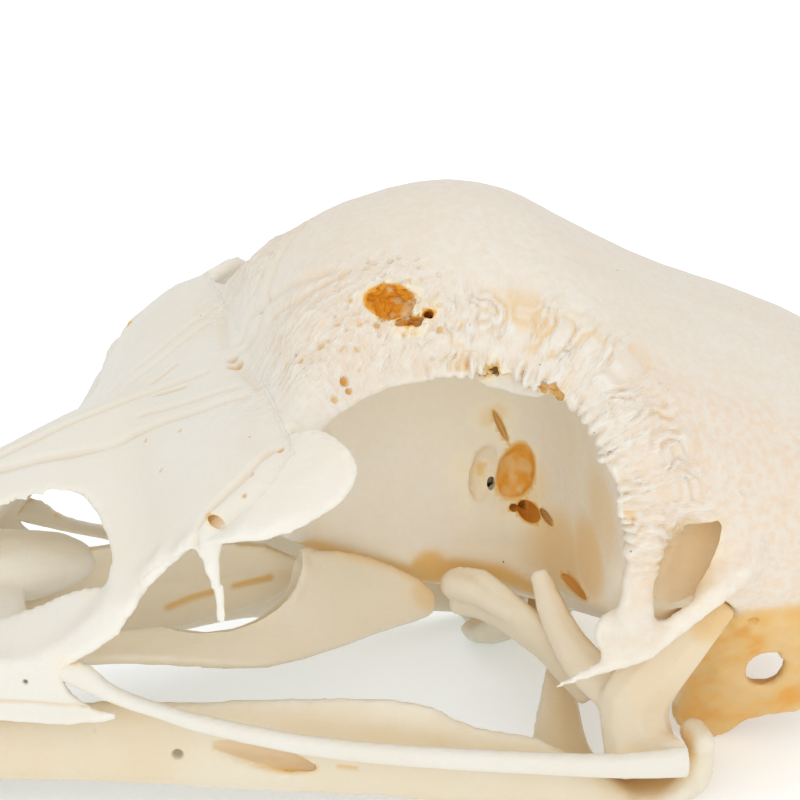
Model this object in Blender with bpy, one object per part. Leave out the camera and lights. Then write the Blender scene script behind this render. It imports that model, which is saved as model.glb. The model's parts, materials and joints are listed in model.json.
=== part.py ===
"""Skull of a turkey with its lower jaw in place, modelled at life size.

The bill points along -X, the left side of the head faces -Y and +Z is up.
All sizes below are in millimetres; finish_bone brings each bone to metres.
"""
import math

import bmesh
import bpy
from mathutils import Vector

MM = 0.001
CENTRE_X = -3.4          # middle of the skull's length, which becomes x = 0
GAP = 0.3                # clear space kept between neighbouring bones
JOINT_ROOM = 0.6         # what a neighbour is cut back around a joint
LEFT = -1
RIGHT = 1
SIDE_NAMES = {LEFT: "left", RIGHT: "right"}

# Colours of the dry bone
IVORY = (0.86, 0.80, 0.68)
CREAM = (0.80, 0.70, 0.52)
PINKISH = (0.84, 0.74, 0.62)
TAN = (0.76, 0.63, 0.44)

# Side view of the joint between the bill and the head: x and z from the top down
HINGE_LINE = [(-4.6, 50.0), (-4.6, 30.9), (-11.6, 25.0), (-15.0, 21.4), (-15.0, -10.0)]
# Outlines of the openings in the side of the bill: x and z
NOSTRIL = [
    (-33.4, 16.6), (-31.6, 19.4), (-28.0, 21.2), (-24.0, 22.3), (-21.0, 23.3), (-19.6, 23.9), (-18.2, 24.1),
    (-17.1, 23.7), (-16.5, 22.8), (-16.4, 21.6), (-17.0, 20.2), (-18.3, 18.6), (-20.2, 16.6), (-22.3, 15.2),
    (-24.4, 14.6), (-28.6, 14.3), (-32.0, 14.7)]
CHEEK = [
    (-10.2, 26.2), (-11.1, 24.8), (-13.0, 22.8), (-14.6, 20.8), (-15.6, 19.0), (-16.5, 17.4), (-17.9, 16.0),
    (-19.2, 15.1), (-20.4, 14.0), (-20.0, 12.7), (-18.5, 11.6), (-17.0, 11.2), (-16.1, 10.4), (-16.3, 9.6),
    (-17.2, 8.0), (-17.4, -8.0), (10.0, -8.0), (10.0, 26.0)]
# Side view of the floor the skull lies on
TABLE = [(-60, 0), (60, 0), (60, -20), (-60, -20)]

# Cranium: rows of x, half width, height of the widest line, top, bottom
CRANIUM_SECTIONS = [
    (-9.6, 2.4, 22.6, 25.0, 19.8),
    (-7.4, 8.0, 25.2, 27.4, 19.4),
    (-4.7, 15.0, 28.8, 31.0, 19.0),
    (-3.4, 15.6, 29.8, 34.6, 18.2),
    (-1.0, 14.0, 30.4, 38.0, 16.0),
    (3.0, 11.9, 31.6, 41.0, 14.0),
    (8.0, 11.2, 32.4, 42.5, 13.0),
    (12.0, 12.2, 32.0, 42.6, 12.6),
    (16.0, 15.0, 29.4, 41.4, 12.0),
    (19.0, 18.4, 25.4, 39.6, 11.0),
    (23.0, 19.0, 22.0, 37.3, 9.5),
    (28.0, 18.4, 20.0, 34.6, 8.0),
    (34.0, 17.2, 18.4, 32.2, 7.6),
    (40.0, 15.0, 17.8, 29.2, 8.4),
    (44.0, 12.2, 17.2, 25.4, 9.8),
    (47.0, 8.0, 16.6, 20.4, 12.2),
    (48.4, 3.0, 16.4, 17.6, 15.0),
]

# Orbit: rows of distance from the midline, centre x, centre z, half length,
# half height; the socket is open below
ORBIT_RINGS = [
    (0.75, 8.0, 20.5, 7.4, 8.6),
    (2.2, 8.0, 20.6, 9.2, 10.6),
    (5.0, 7.8, 20.6, 10.6, 11.9),
    (9.0, 7.6, 20.6, 11.4, 12.6),
    (14.0, 7.4, 20.4, 11.8, 12.6),
    (20.0, 7.2, 20.0, 12.2, 12.6),
    (27.0, 7.0, 20.0, 12.6, 12.6),
]
ORBIT_FLOOR = -4.0
ORBIT_POWER = 2.7

# Bars of the jaw joint: rows of x, distance from the midline, z, half length,
# half width
QUADRATE_BODY = [
    (27.4, 16.2, 15.4, 1.2, 1.2), (25.6, 16.3, 13.7, 1.7, 1.3), (23.4, 16.4, 11.6, 2.4, 1.4),
    (21.4, 16.0, 9.0, 2.9, 1.6), (20.9, 15.8, 7.0, 2.7, 1.8), (21.2, 16.0, 5.0, 2.7, 2.2),
    (21.6, 16.2, 2.8, 2.9, 2.6)]
QUADRATE_ARM = [
    (20.6, 15.2, 8.0, 2.4, 1.3), (18.6, 12.8, 9.0, 1.9, 1.1), (17.2, 10.8, 10.8, 1.5, 0.9),
    (16.4, 9.0, 12.9, 1.2, 0.8), (15.7, 7.8, 15.4, 0.8, 0.7)]
QUADRATE_KNOB = [(22.0, 17.4, 5.0, 1.6, 1.4), (23.0, 19.4, 5.2, 1.2, 1.2)]
PTERYGOID_ROD = [
    (9.9, 3.9, 12.4, 2.0, 0.9), (12.0, 4.6, 12.3, 2.2, 1.0), (14.0, 6.4, 11.2, 1.8, 1.0),
    (16.3, 8.5, 9.6, 1.7, 1.0), (18.0, 10.0, 7.6, 1.5, 1.0), (19.2, 11.0, 6.0, 1.2, 1.0)]


def spaced(rows, steps):
    """Rows with steps smooth in-between rows from each to the next."""
    last = len(rows) - 1
    out = []
    for i in range(last):
        before = rows[max(i - 1, 0)]
        start = rows[i]
        end = rows[i + 1]
        after = rows[min(i + 2, last)]
        for k in range(steps):
            t = k / steps
            out.append(tuple(
                0.5 * (2 * b + (c - a) * t + (2 * a - 5 * b + 4 * c - d) * t * t
                       + (3 * b - a - 3 * c + d) * t ** 3)
                for a, b, c, d in zip(before, start, end, after)))
    out.append(tuple(rows[last]))
    return out


def power_wave(value, power):
    """A cosine or sine bent towards a squarer or a sharper oval."""
    return math.copysign(abs(value) ** (2.0 / power), value)


def new_object(name, mesh):
    """An object for a mesh, linked to the scene."""
    obj = bpy.data.objects.new(name, mesh)
    bpy.context.scene.collection.objects.link(obj)
    return obj


def loft(name, rings):
    """A closed solid through rings of equally many points."""
    mesh = bpy.data.meshes.new(name)
    bm = bmesh.new()
    loops = [[bm.verts.new(point) for point in ring] for ring in rings]
    count = len(loops[0])
    for near, far in zip(loops, loops[1:]):
        for i in range(count):
            j = (i + 1) % count
            bm.faces.new((near[i], near[j], far[j], far[i]))
    bm.faces.new(list(reversed(loops[0])))
    bm.faces.new(loops[-1])
    bmesh.ops.recalc_face_normals(bm, faces=bm.faces)
    bm.to_mesh(mesh)
    bm.free()
    return new_object(name, mesh)


def section_body(name, rows, sides=28, steps=3, power=2.1):
    """A solid through upright oval sections that follow one another in x.

    A row may end with how square the upper half of its section is.
    """
    rings = []
    for x, half, widest, top, bottom, *upper in spaced(rows, steps):
        ring = []
        for i in range(sides):
            turn = 2 * math.pi * i / sides
            above = math.sin(turn) > 0
            square = upper[0] if upper and above else power
            reach = top - widest if above else widest - bottom
            ring.append(Vector((x, half * power_wave(math.cos(turn), square),
                                widest + reach * power_wave(math.sin(turn), square))))
        rings.append(ring)
    return loft(name, rings)


def strut(name, rows, side=LEFT, sides=8, steps=3, upright=(0, 0, 1)):
    """A bar along x, y, z with a half height and a half width at each row.

    The rows give y as a distance from the midline; side puts it left or right.
    """
    places = [(x, side * y, z, tall, wide) for x, y, z, tall, wide in spaced(rows, steps)]
    points = [Vector(row[:3]) for row in places]
    rings = []
    for i, row in enumerate(places):
        ahead = points[min(i + 1, len(points) - 1)] - points[max(i - 1, 0)]
        ahead.normalize()
        across = ahead.cross(Vector((upright[0], side * upright[1], upright[2])))
        across.normalize()
        raised = across.cross(ahead)
        tall, wide = row[3], row[4]
        rings.append([points[i] + raised * tall * math.sin(2 * math.pi * k / sides)
                      + across * wide * math.cos(2 * math.pi * k / sides)
                      for k in range(sides)])
    return loft(name, rings)


def swollen(rows, extra):
    """The rows of a bar with its half sizes made larger."""
    return [(x, y, z, tall + extra, wide + extra) for x, y, z, tall, wide in rows]


def quadrate_bars(side, extra=0.0):
    """The bars that make up one quadrate, or the room they need."""
    return [strut("quadrate_bar", swollen(rows, extra), side, upright=(1, 0, 0))
            for rows in (QUADRATE_BODY, QUADRATE_ARM, QUADRATE_KNOB)]


def blob(name, centre, radii, side=LEFT, turn=(0, 0, 0)):
    """An ellipsoid, its y counted from the midline."""
    mesh = bpy.data.meshes.new(name)
    bm = bmesh.new()
    bmesh.ops.create_uvsphere(bm, u_segments=16, v_segments=10, radius=1.0)
    bm.to_mesh(mesh)
    bm.free()
    obj = new_object(name, mesh)
    obj.location = (centre[0], side * centre[1], centre[2])
    obj.rotation_euler = (side * math.radians(-turn[0]), math.radians(turn[1]),
                          side * math.radians(-turn[2]))
    obj.scale = radii
    return obj


def sheet(name, grid, thickness, side=LEFT):
    """A curved plate through a grid of points, half its thickness each way."""
    rows = [[Vector((x, side * y, z)) for x, y, z in row] for row in grid]
    tall, wide = len(rows), len(rows[0])
    mesh = bpy.data.meshes.new(name)
    bm = bmesh.new()
    verts = [[bm.verts.new(point) for point in row] for row in rows]
    for i in range(tall - 1):
        for j in range(wide - 1):
            bm.faces.new((verts[i][j], verts[i][j + 1], verts[i + 1][j + 1], verts[i + 1][j]))
    bmesh.ops.recalc_face_normals(bm, faces=bm.faces)
    bm.to_mesh(mesh)
    bm.free()
    obj = new_object(name, mesh)
    soften = obj.modifiers.new("soften", "SUBSURF")
    soften.levels = 2
    soften.render_levels = 2
    wall = obj.modifiers.new("wall", "SOLIDIFY")
    wall.thickness = thickness
    wall.offset = 0.0
    return baked(obj)


def baked(obj):
    """The object with its modifiers and its place worked into its mesh."""
    bpy.context.view_layer.update()
    graph = bpy.context.evaluated_depsgraph_get()
    mesh = bpy.data.meshes.new_from_object(obj.evaluated_get(graph))
    mesh.transform(obj.matrix_world)
    name = obj.name
    bpy.data.objects.remove(obj)
    return new_object(name, mesh)


def cut(body, cutters):
    """The body with each cutter taken away from it."""
    for cutter in cutters:
        cutter.hide_render = True
        cutter.display_type = "WIRE"
        knife = body.modifiers.new("cut", "BOOLEAN")
        knife.operation = "DIFFERENCE"
        knife.object = cutter
    body = baked(body)
    for cutter in cutters:
        bpy.data.objects.remove(cutter)
    return body


def joined(name, pieces):
    """One object that holds the meshes of all the pieces."""
    pieces = [baked(piece) for piece in pieces]
    bm = bmesh.new()
    for piece in pieces:
        bm.from_mesh(piece.data)
        bpy.data.objects.remove(piece)
    mesh = bpy.data.meshes.new(name)
    bm.to_mesh(mesh)
    bm.free()
    return new_object(name, mesh)


def grown_together(name, pieces, grain, smoothing, faces):
    """The pieces as one smooth closed bone of about so many triangles."""
    bone = joined(name, pieces)
    skin = bone.modifiers.new("skin", "REMESH")
    skin.mode = "VOXEL"
    skin.voxel_size = grain
    if smoothing:
        ease = bone.modifiers.new("ease", "SMOOTH")
        ease.factor = 0.5
        ease.iterations = smoothing
    bone = baked(bone)
    thin = bone.modifiers.new("thin", "DECIMATE")
    thin.ratio = min(1.0, faces / (2.0 * len(bone.data.polygons)))
    thin.use_collapse_triangulate = True
    return baked(bone)


def bone_material(name, colour):
    """Dry bone: dull, with a faint sheen and no metal."""
    material = bpy.data.materials.new(name)
    material.use_nodes = True
    shader = material.node_tree.nodes["Principled BSDF"]
    shader.inputs["Base Color"].default_value = (*colour, 1.0)
    shader.inputs["Roughness"].default_value = 0.55
    shader.inputs["Metallic"].default_value = 0.0
    return material


def finish_bone(bone, material):
    """Bring a bone from millimetres to metres and give it its material."""
    for vertex in bone.data.vertices:
        x, y, z = vertex.co
        vertex.co = ((x - CENTRE_X) * MM, y * MM, z * MM)
    bone.data.materials.clear()
    bone.data.materials.append(material)
    bone.data.shade_smooth()
    bone.data.set_sharp_from_angle(angle=math.radians(50))
    return bone


def block(name, outline, half_width=40.0):
    """A block with an outline in x and z, right across the skull."""
    return loft(name, [[Vector((x, y, z)) for x, z in outline]
                       for y in (-half_width, half_width)])


def before_hinge():
    """The space of the bill, with the gap that parts it from the head."""
    return block("before", [(x + 1.7 * GAP, z) for x, z in HINGE_LINE]
                 + [(-70.0, -10.0), (-70.0, 50.0)])


def orbit_cutter(side):
    """The eye socket's hollow, open below, for one side."""
    rings = []
    for y, x, z, long, tall in spaced(ORBIT_RINGS, 2):
        ring = []
        for k in range(17):
            turn = math.pi * k / 16
            ring.append(Vector((x + long * power_wave(math.cos(turn), ORBIT_POWER), side * y,
                                z + tall * power_wave(math.sin(turn), ORBIT_POWER))))
        ring.append(Vector((x - long, side * y, ORBIT_FLOOR)))
        ring.append(Vector((x + long, side * y, ORBIT_FLOOR)))
        rings.append(ring)
    return loft("orbit", rings)


def build_cranium():
    """Frontal dome, braincase, orbits, septum, processes and ear wings."""
    dome = section_body("dome", CRANIUM_SECTIONS)
    cutters = []
    for side in (LEFT, RIGHT):
        cutters.append(orbit_cutter(side))
        cutters.append(blob("temple", (22.9, 21.2, 19.4), (2.3, 5.4, 4.8), side, (0, 25, 0)))
        cutters.append(blob("ear", (27.0, 19.4, 6.4), (9.0, 8.6, 8.6), side))
    dome = cut(dome, cutters)
    pieces = [dome]
    pieces.append(strut("rostrum", [(-8.0, 0.0, 20.6, 1.3, 1.0), (0.0, 0.0, 16.6, 1.5, 1.1),
                                    (8.0, 0.0, 13.4, 1.7, 1.4), (16.0, 0.0, 12.0, 2.2, 2.2),
                                    (24.0, 0.0, 10.0, 3.0, 5.0)]))
    for side in (LEFT, RIGHT):
        pieces += cranium_side(side)
    cranium = grown_together("cranium", pieces, 0.4, 3, 2760)
    cutters = [block("table", TABLE), before_hinge()]
    for side in (LEFT, RIGHT):
        cutters += quadrate_bars(side, JOINT_ROOM)
    return cut(cranium, cutters)


def cranium_side(side):
    """The pieces that grow from one side of the braincase."""
    swelling = blob("swelling", (0.6, 6.6, 34.0), (4.6, 4.8, 3.6), side, (0, -30, 0))
    postorbital = strut("postorbital", [
        (21.6, 16.8, 27.0, 2.6, 2.0), (20.6, 18.6, 22.6, 1.8, 1.2),
        (19.9, 19.3, 19.2, 1.4, 0.9), (19.6, 19.6, 16.4, 1.5, 0.9),
        (20.6, 19.8, 14.2, 1.1, 0.8)], side, upright=(1, 0, 0))
    zygomatic = strut("zygomatic", [
        (31.4, 15.4, 20.4, 2.0, 1.6), (27.4, 18.6, 18.8, 1.4, 1.1),
        (24.2, 19.4, 16.6, 1.0, 0.8), (20.4, 19.9, 14.2, 1.0, 0.8)], side)
    spike = strut("spike", [
        (20.9, 19.9, 14.2, 1.0, 0.8), (17.4, 19.2, 12.6, 0.7, 0.55),
        (13.8, 18.3, 10.9, 0.35, 0.35)], side)
    lump = blob("lump", (18.2, 18.8, 15.2), (1.6, 1.0, 1.8), side)
    wing = sheet("wing", [
        [(24.5, 12.0, 13.0), (28.5, 15.4, 14.4), (32.5, 15.6, 13.2), (36.5, 14.6, 13.0), (41.0, 12.4, 13.6)],
        [(25.0, 10.0, 9.0), (28.5, 12.6, 9.6), (32.5, 13.2, 9.6), (36.5, 12.8, 9.6), (41.0, 11.4, 10.8)],
        [(26.0, 8.4, 4.6), (29.0, 9.6, 4.6), (32.6, 10.8, 5.4), (36.5, 11.2, 5.4), (40.5, 10.4, 7.6)],
        [(26.6, 7.0, 1.6), (29.4, 7.2, -1.3), (32.2, 9.0, 2.9), (35.0, 10.4, 2.4), (38.6, 10.4, 4.4)],
    ], 1.5, side)
    wing = cut(wing, [blob("window", (32.3, 10.8, 7.7), (1.6, 4.0, 1.8), side, (-22, 0, -12))])
    return [swelling, postorbital, zygomatic, spike, lump, wing]


def build_upper_bill():
    """Premaxilla, nasals, nasal bars and maxillae as one bone."""
    outer = section_body("outer", [
        (-55.2, 1.0, 5.0, 6.0, 3.6, 2.0), (-54.0, 2.8, 5.6, 9.2, 3.4, 2.0),
        (-51.0, 4.6, 7.2, 13.2, 4.2, 1.9), (-46.0, 6.6, 9.4, 16.9, 5.4, 1.7),
        (-38.0, 9.0, 11.8, 20.0, 6.8, 1.4), (-30.0, 11.3, 14.4, 22.6, 7.6, 1.2),
        (-24.4, 13.4, 16.8, 24.4, 7.8, 1.15), (-20.0, 15.2, 18.6, 26.3, 7.6, 1.15),
        (-17.0, 16.8, 19.5, 27.4, 7.6, 1.15), (-14.0, 18.6, 21.2, 28.3, 8.0, 1.15),
        (-11.0, 20.4, 25.2, 29.1, 8.0, 2.0), (-7.0, 20.4, 28.8, 31.0, 16.0, 3.0),
        (-3.6, 18.0, 30.8, 32.4, 20.0, 3.0)], power=5.0)
    inner = section_body("inner", [
        (-48.0, 3.4, 8.5, 12.0, -6.0, 1.9), (-42.0, 6.2, 10.6, 16.0, -6.0, 1.7),
        (-36.0, 8.0, 12.3, 18.8, -6.0, 1.4), (-30.0, 9.8, 14.4, 21.0, -6.0, 1.2),
        (-24.4, 11.9, 16.6, 22.8, -6.0, 1.15), (-20.0, 13.7, 18.2, 24.8, -6.0, 1.15),
        (-17.0, 15.3, 19.1, 25.9, -6.0, 1.15), (-14.0, 17.1, 20.8, 26.8, -6.0, 1.15),
        (-11.0, 18.9, 24.6, 27.6, -6.0, 2.0), (-7.0, 18.9, 28.0, 29.5, -6.0, 3.0),
        (-2.6, 16.6, 29.8, 30.8, -6.0, 3.0)], power=5.0)
    cutters = [inner]
    for side in (LEFT, RIGHT):
        cutters.append(side_opening("nostril", NOSTRIL, 3.0, side))
        cutters.append(side_opening("cheek", CHEEK, 2.0, side))
    pieces = [cut(outer, cutters)]
    pieces.append(blob("concha", (-23.2, 0.0, 15.9), (7.6, 3.4, 2.7)))
    for side in (LEFT, RIGHT):
        pieces.append(strut("shelf", [(-25.0, 12.6, 12.4, 0.8, 3.0), (-24.6, 9.0, 14.6, 0.7, 3.0),
                                      (-24.0, 2.0, 15.6, 0.8, 3.0)], side))
        pieces.append(sheet("sill", [
            [(-16.0, 16.4, 18.4), (-20.2, 14.8, 14.8), (-24.4, 13.2, 13.2), (-31.0, 11.0, 12.4)],
            [(-16.4, 13.2, 20.6), (-20.4, 10.2, 17.7), (-23.9, 8.4, 15.3), (-31.0, 7.4, 13.6)]],
            1.0, side))
    bill = grown_together("upper_bill", pieces, 0.4, 3, 1620)
    return cut(bill, [block("behind", HINGE_LINE + [(10.0, -10.0), (10.0, 50.0)])])


def side_opening(name, outline, inmost, side):
    """A cutter with an outline in x and z, from a depth in y outwards."""
    return loft(name, [[Vector((x, side * y, z)) for x, z in outline] for y in (inmost, 30.0)])


def build_lacrimal(side):
    """The plate at the front corner of the orbit with its hanging process."""
    plate = sheet("plate", [
        [(-3.7, 16.4, 31.5), (-2.4, 17.8, 31.9), (-1.3, 19.2, 31.8), (-0.3, 20.2, 30.7)],
        [(-6.1, 17.6, 29.6), (-3.9, 19.6, 30.2), (-2.0, 20.8, 29.9), (-0.4, 21.1, 29.4)],
        [(-8.5, 18.9, 27.6), (-6.5, 21.0, 28.3), (-4.3, 22.0, 28.2), (-2.1, 22.1, 27.9)],
        [(-11.1, 20.2, 25.4), (-9.7, 21.6, 26.1), (-7.3, 22.8, 26.2), (-4.9, 22.7, 27.4)],
    ], 1.2, side)
    hanging = strut("hanging", [
        (-10.4, 19.8, 25.4, 1.1, 0.6), (-10.3, 19.5, 23.2, 0.7, 0.5),
        (-9.8, 19.0, 20.8, 0.55, 0.45), (-9.6, 18.5, 18.4, 0.5, 0.45)], side, upright=(1, 0, 0))
    bone = grown_together("lacrimal_" + SIDE_NAMES[side], [plate, hanging], 0.3, 2, 320)
    return cut(bone, [before_hinge()])


def build_jugal(side):
    """The thin bar from the maxilla back to the quadrate."""
    return strut("jugal_" + SIDE_NAMES[side], [
        (-19.9, 14.0, 13.4, 0.5, 0.6), (-18.9, 14.3, 13.7, 1.0, 0.6), (-17.8, 14.6, 13.3, 1.1, 0.6),
        (-16.6, 15.0, 12.4, 0.75, 0.6), (-15.2, 15.4, 11.6, 0.62, 0.6), (-13.2, 15.9, 10.8, 0.62, 0.6),
        (-11.0, 16.4, 10.0, 0.7, 0.6), (-4.2, 18.0, 8.4, 0.8, 0.6), (3.0, 19.0, 7.2, 0.85, 0.65),
        (12.0, 20.0, 6.1, 0.9, 0.7), (18.5, 20.6, 5.4, 1.0, 0.8), (23.4, 21.2, 5.5, 1.3, 0.8)],
        side, steps=2)


def build_palatine(side):
    """The long flat bone of the palate."""
    blade = sheet("palatine", [
        [(-32.0, 4.6, 12.4), (-24.0, 6.0, 12.6), (-16.0, 6.6, 13.0), (-10.0, 6.6, 12.9), (-4.5, 6.2, 14.4),
         (-1.6, 4.2, 17.2), (2.5, 2.8, 16.0), (6.3, 2.8, 14.2), (9.0, 3.0, 12.4)],
        [(-32.0, 5.4, 12.0), (-24.0, 7.0, 12.0), (-16.0, 7.8, 12.2), (-10.0, 8.0, 11.9), (-4.5, 8.0, 12.2),
         (-0.8, 6.2, 13.8), (3.0, 4.6, 13.2), (6.3, 3.8, 12.4), (9.0, 3.4, 11.4)],
        [(-32.0, 6.2, 11.7), (-24.0, 8.0, 11.7), (-16.0, 9.0, 11.9), (-10.0, 9.3, 10.9), (-5.3, 9.7, 10.1),
         (-0.2, 8.2, 10.4), (3.4, 6.2, 10.4), (6.5, 4.8, 10.4), (9.0, 3.7, 10.4)],
    ], 1.0, side)
    return grown_together("palatine_" + SIDE_NAMES[side], [blade], 0.3, 2, 350)


def build_pterygoid(side):
    """The short rod from the palatine to the quadrate."""
    rod = strut("rod", PTERYGOID_ROD, side)
    bone = grown_together("pterygoid_" + SIDE_NAMES[side], [rod], 0.3, 2, 200)
    return cut(bone, quadrate_bars(side, GAP + 0.1))


def build_quadrate(side):
    """The hinge bone of the jaw with its arms."""
    return grown_together("quadrate_" + SIDE_NAMES[side], quadrate_bars(side), 0.32, 2, 420)


def build_mandible():
    """Both rami, the tip where they meet, and the hinge plates behind."""
    pieces = []
    for side in (LEFT, RIGHT):
        ramus = strut("ramus", [
            (-52.0, 0.6, 1.2, 1.0, 1.6), (-49.0, 2.4, 1.7, 2.0, 2.2), (-44.0, 4.0, 3.0, 2.5, 1.6),
            (-36.0, 6.0, 4.6, 2.9, 1.1), (-26.0, 8.4, 6.0, 3.2, 1.0), (-18.0, 10.6, 6.4, 3.4, 1.0),
            (-10.0, 12.8, 6.3, 3.7, 1.0), (-3.7, 14.6, 6.5, 4.1, 1.0), (3.4, 15.8, 6.0, 4.2, 1.0),
            (5.8, 16.2, 5.2, 3.8, 1.0), (8.5, 16.5, 4.4, 3.3, 1.0), (12.6, 16.9, 3.6, 3.0, 1.1),
            (17.0, 17.2, 1.8, 1.8, 1.2), (20.0, 17.2, 0.8, 1.0, 1.6)], side, sides=10)
        slot = blob("slot", (-6.4, 15.8, 6.0), (4.3, 2.0, 1.15), side, (0, 12, -16))
        pieces.append(cut(ramus, [slot]))
        pieces.append(strut("shelf", [
            (16.0, 16.4, 0.7, 1.1, 2.2), (20.0, 15.8, 0.7, 1.0, 3.6), (23.6, 16.6, 0.8, 1.1, 2.8),
            (25.0, 17.6, 2.0, 1.3, 1.4), (25.7, 17.8, 4.8, 1.1, 0.9)], side))
        pieces.append(strut("prong", [
            (17.3, 13.2, 0.8, 2.6, 1.0), (17.0, 10.6, 1.4, 2.5, 1.0), (17.3, 8.4, 3.0, 2.0, 0.9),
            (17.7, 7.0, 5.0, 1.5, 0.8), (17.9, 6.3, 6.9, 1.2, 0.7)], side, upright=(1, 0, 0)))
    bone = grown_together("mandible", pieces, 0.4, 2, 1500)
    cutters = [block("table", TABLE)]
    for side in (LEFT, RIGHT):
        cutters += quadrate_bars(side, GAP + 0.2)
        cutters.append(strut("room", swollen(PTERYGOID_ROD, GAP + 0.2), side))
    return cut(bone, cutters)


def main():
    """Build every bone."""
    for obj in list(bpy.data.objects):
        bpy.data.objects.remove(obj)
    ivory = bone_material("ivory_bone", IVORY)
    cream = bone_material("cream_bone", CREAM)
    pinkish = bone_material("pinkish_bone", PINKISH)
    tan = bone_material("tan_bone", TAN)
    finish_bone(build_cranium(), pinkish)
    finish_bone(build_upper_bill(), ivory)
    finish_bone(build_mandible(), tan)
    for side in (LEFT, RIGHT):
        finish_bone(build_lacrimal(side), ivory)
        finish_bone(build_jugal(side), ivory)
        finish_bone(build_palatine(side), cream)
        finish_bone(build_pterygoid(side), cream)
        finish_bone(build_quadrate(side), cream)


main()
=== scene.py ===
"""A turkey's skull lying on its lower jaw, dressed as clean dry bone.

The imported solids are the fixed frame. Each bone is copied from its solid, opened, smoothed and
given its own relief: grooves, pits, pores, beads and scallops. Sizes are in millimetres in the
row frame; MM brings them to metres. The bill points along -X and the left side faces -Y.
"""
import json
import logging
import math
from collections.abc import Callable, Iterator, Sequence
from contextlib import contextmanager
from dataclasses import dataclass
from enum import Enum
from itertools import product

import bpy
import numpy as np
from mathutils import Euler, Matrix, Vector
from mathutils.bvhtree import BVHTree
from mathutils.kdtree import KDTree

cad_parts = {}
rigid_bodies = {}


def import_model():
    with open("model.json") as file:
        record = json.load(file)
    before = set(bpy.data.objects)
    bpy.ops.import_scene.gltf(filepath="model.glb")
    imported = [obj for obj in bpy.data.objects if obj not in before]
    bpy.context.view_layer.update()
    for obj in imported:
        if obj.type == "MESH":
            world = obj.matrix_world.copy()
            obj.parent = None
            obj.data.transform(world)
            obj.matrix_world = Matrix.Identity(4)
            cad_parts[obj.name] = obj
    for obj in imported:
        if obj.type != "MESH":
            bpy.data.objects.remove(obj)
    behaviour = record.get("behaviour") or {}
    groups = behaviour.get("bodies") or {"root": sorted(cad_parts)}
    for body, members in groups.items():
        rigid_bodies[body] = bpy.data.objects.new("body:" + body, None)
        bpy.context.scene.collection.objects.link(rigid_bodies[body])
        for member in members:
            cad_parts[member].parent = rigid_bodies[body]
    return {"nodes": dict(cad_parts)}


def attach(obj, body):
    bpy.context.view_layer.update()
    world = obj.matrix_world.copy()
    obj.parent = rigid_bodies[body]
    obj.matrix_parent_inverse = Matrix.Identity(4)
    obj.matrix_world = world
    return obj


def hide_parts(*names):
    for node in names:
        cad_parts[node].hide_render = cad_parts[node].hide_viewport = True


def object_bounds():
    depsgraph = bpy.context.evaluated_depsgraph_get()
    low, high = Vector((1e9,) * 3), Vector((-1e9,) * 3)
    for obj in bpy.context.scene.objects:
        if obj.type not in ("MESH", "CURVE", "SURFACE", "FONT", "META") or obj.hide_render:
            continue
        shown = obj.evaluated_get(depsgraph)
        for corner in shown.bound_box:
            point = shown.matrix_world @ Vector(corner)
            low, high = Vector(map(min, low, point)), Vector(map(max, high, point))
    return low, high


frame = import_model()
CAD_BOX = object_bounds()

LOG = logging.getLogger("skull")
MM = 0.001
BODY = "root"

Point = tuple[float, float, float]
Line = tuple[Point, ...]
Colour = tuple[float, float, float]
Array = np.ndarray
Obj = bpy.types.Object
Materials = dict[str, bpy.types.Material]
Strands = tuple[tuple[Line, float], ...]


class Side(Enum):
    """Which half of the head a bone or a mark is on."""

    LEFT = -1
    RIGHT = 1

    def place(self, spot: Sequence[float]) -> Array:
        """A spot given on the left side, moved to this side."""
        return np.array((spot[0], spot[1] * -self.value, spot[2]), float)

    def line(self, spots: Sequence[Sequence[float]]) -> Array:
        """A row of spots given on the left side, moved to this side."""
        return np.array([self.place(spot) for spot in spots])


# ---------------- fields in space


@dataclass(frozen=True)
class Noise:
    """Smooth noise that repeats exactly, with waves of one cell and ever finer layers."""

    cell: float
    seed: int = 1
    layers: int = 1

    def at(self, spots: Array) -> Array:
        """The noise at each spot, from -1 to 1."""
        total, share, whole = np.zeros(len(spots)), 1.0, 0.0
        for layer in range(self.layers):
            total += share * self._wave(spots / self.cell * 2.0 ** layer + 13.7 * layer, layer)
            whole += share
            share *= 0.55
        return total / whole

    def _wave(self, spots: Array, layer: int) -> Array:
        """One wave of noise, from values on a grid of whole numbers."""
        base = np.floor(spots).astype(np.int64)
        part = spots - base
        ease = part * part * (3 - 2 * part)
        total = np.zeros(len(spots))
        for corner in product((0, 1), repeat=3):
            share = np.prod(np.where(corner, ease, 1 - ease), axis=1)
            total += share * (scatter(base + np.array(corner), self.seed * 31 + layer) * 2 - 1)
        return total


def scatter(cells: Array, seed: int) -> Array:
    """A value from 0 to 1 for each cell of a grid, without order."""
    mixed = (cells[:, 0] * 73856093) ^ (cells[:, 1] * 19349663) ^ (cells[:, 2] * 83492791)
    mixed = (mixed ^ (seed * 2654435761)) & 0xFFFFFFFF
    mixed = ((mixed ^ (mixed >> 15)) * 2246822519) & 0xFFFFFFFF
    mixed = ((mixed ^ (mixed >> 13)) * 3266489917) & 0xFFFFFFFF
    return ((mixed ^ (mixed >> 16)) & 0xFFFF) / 65535.0


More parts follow.
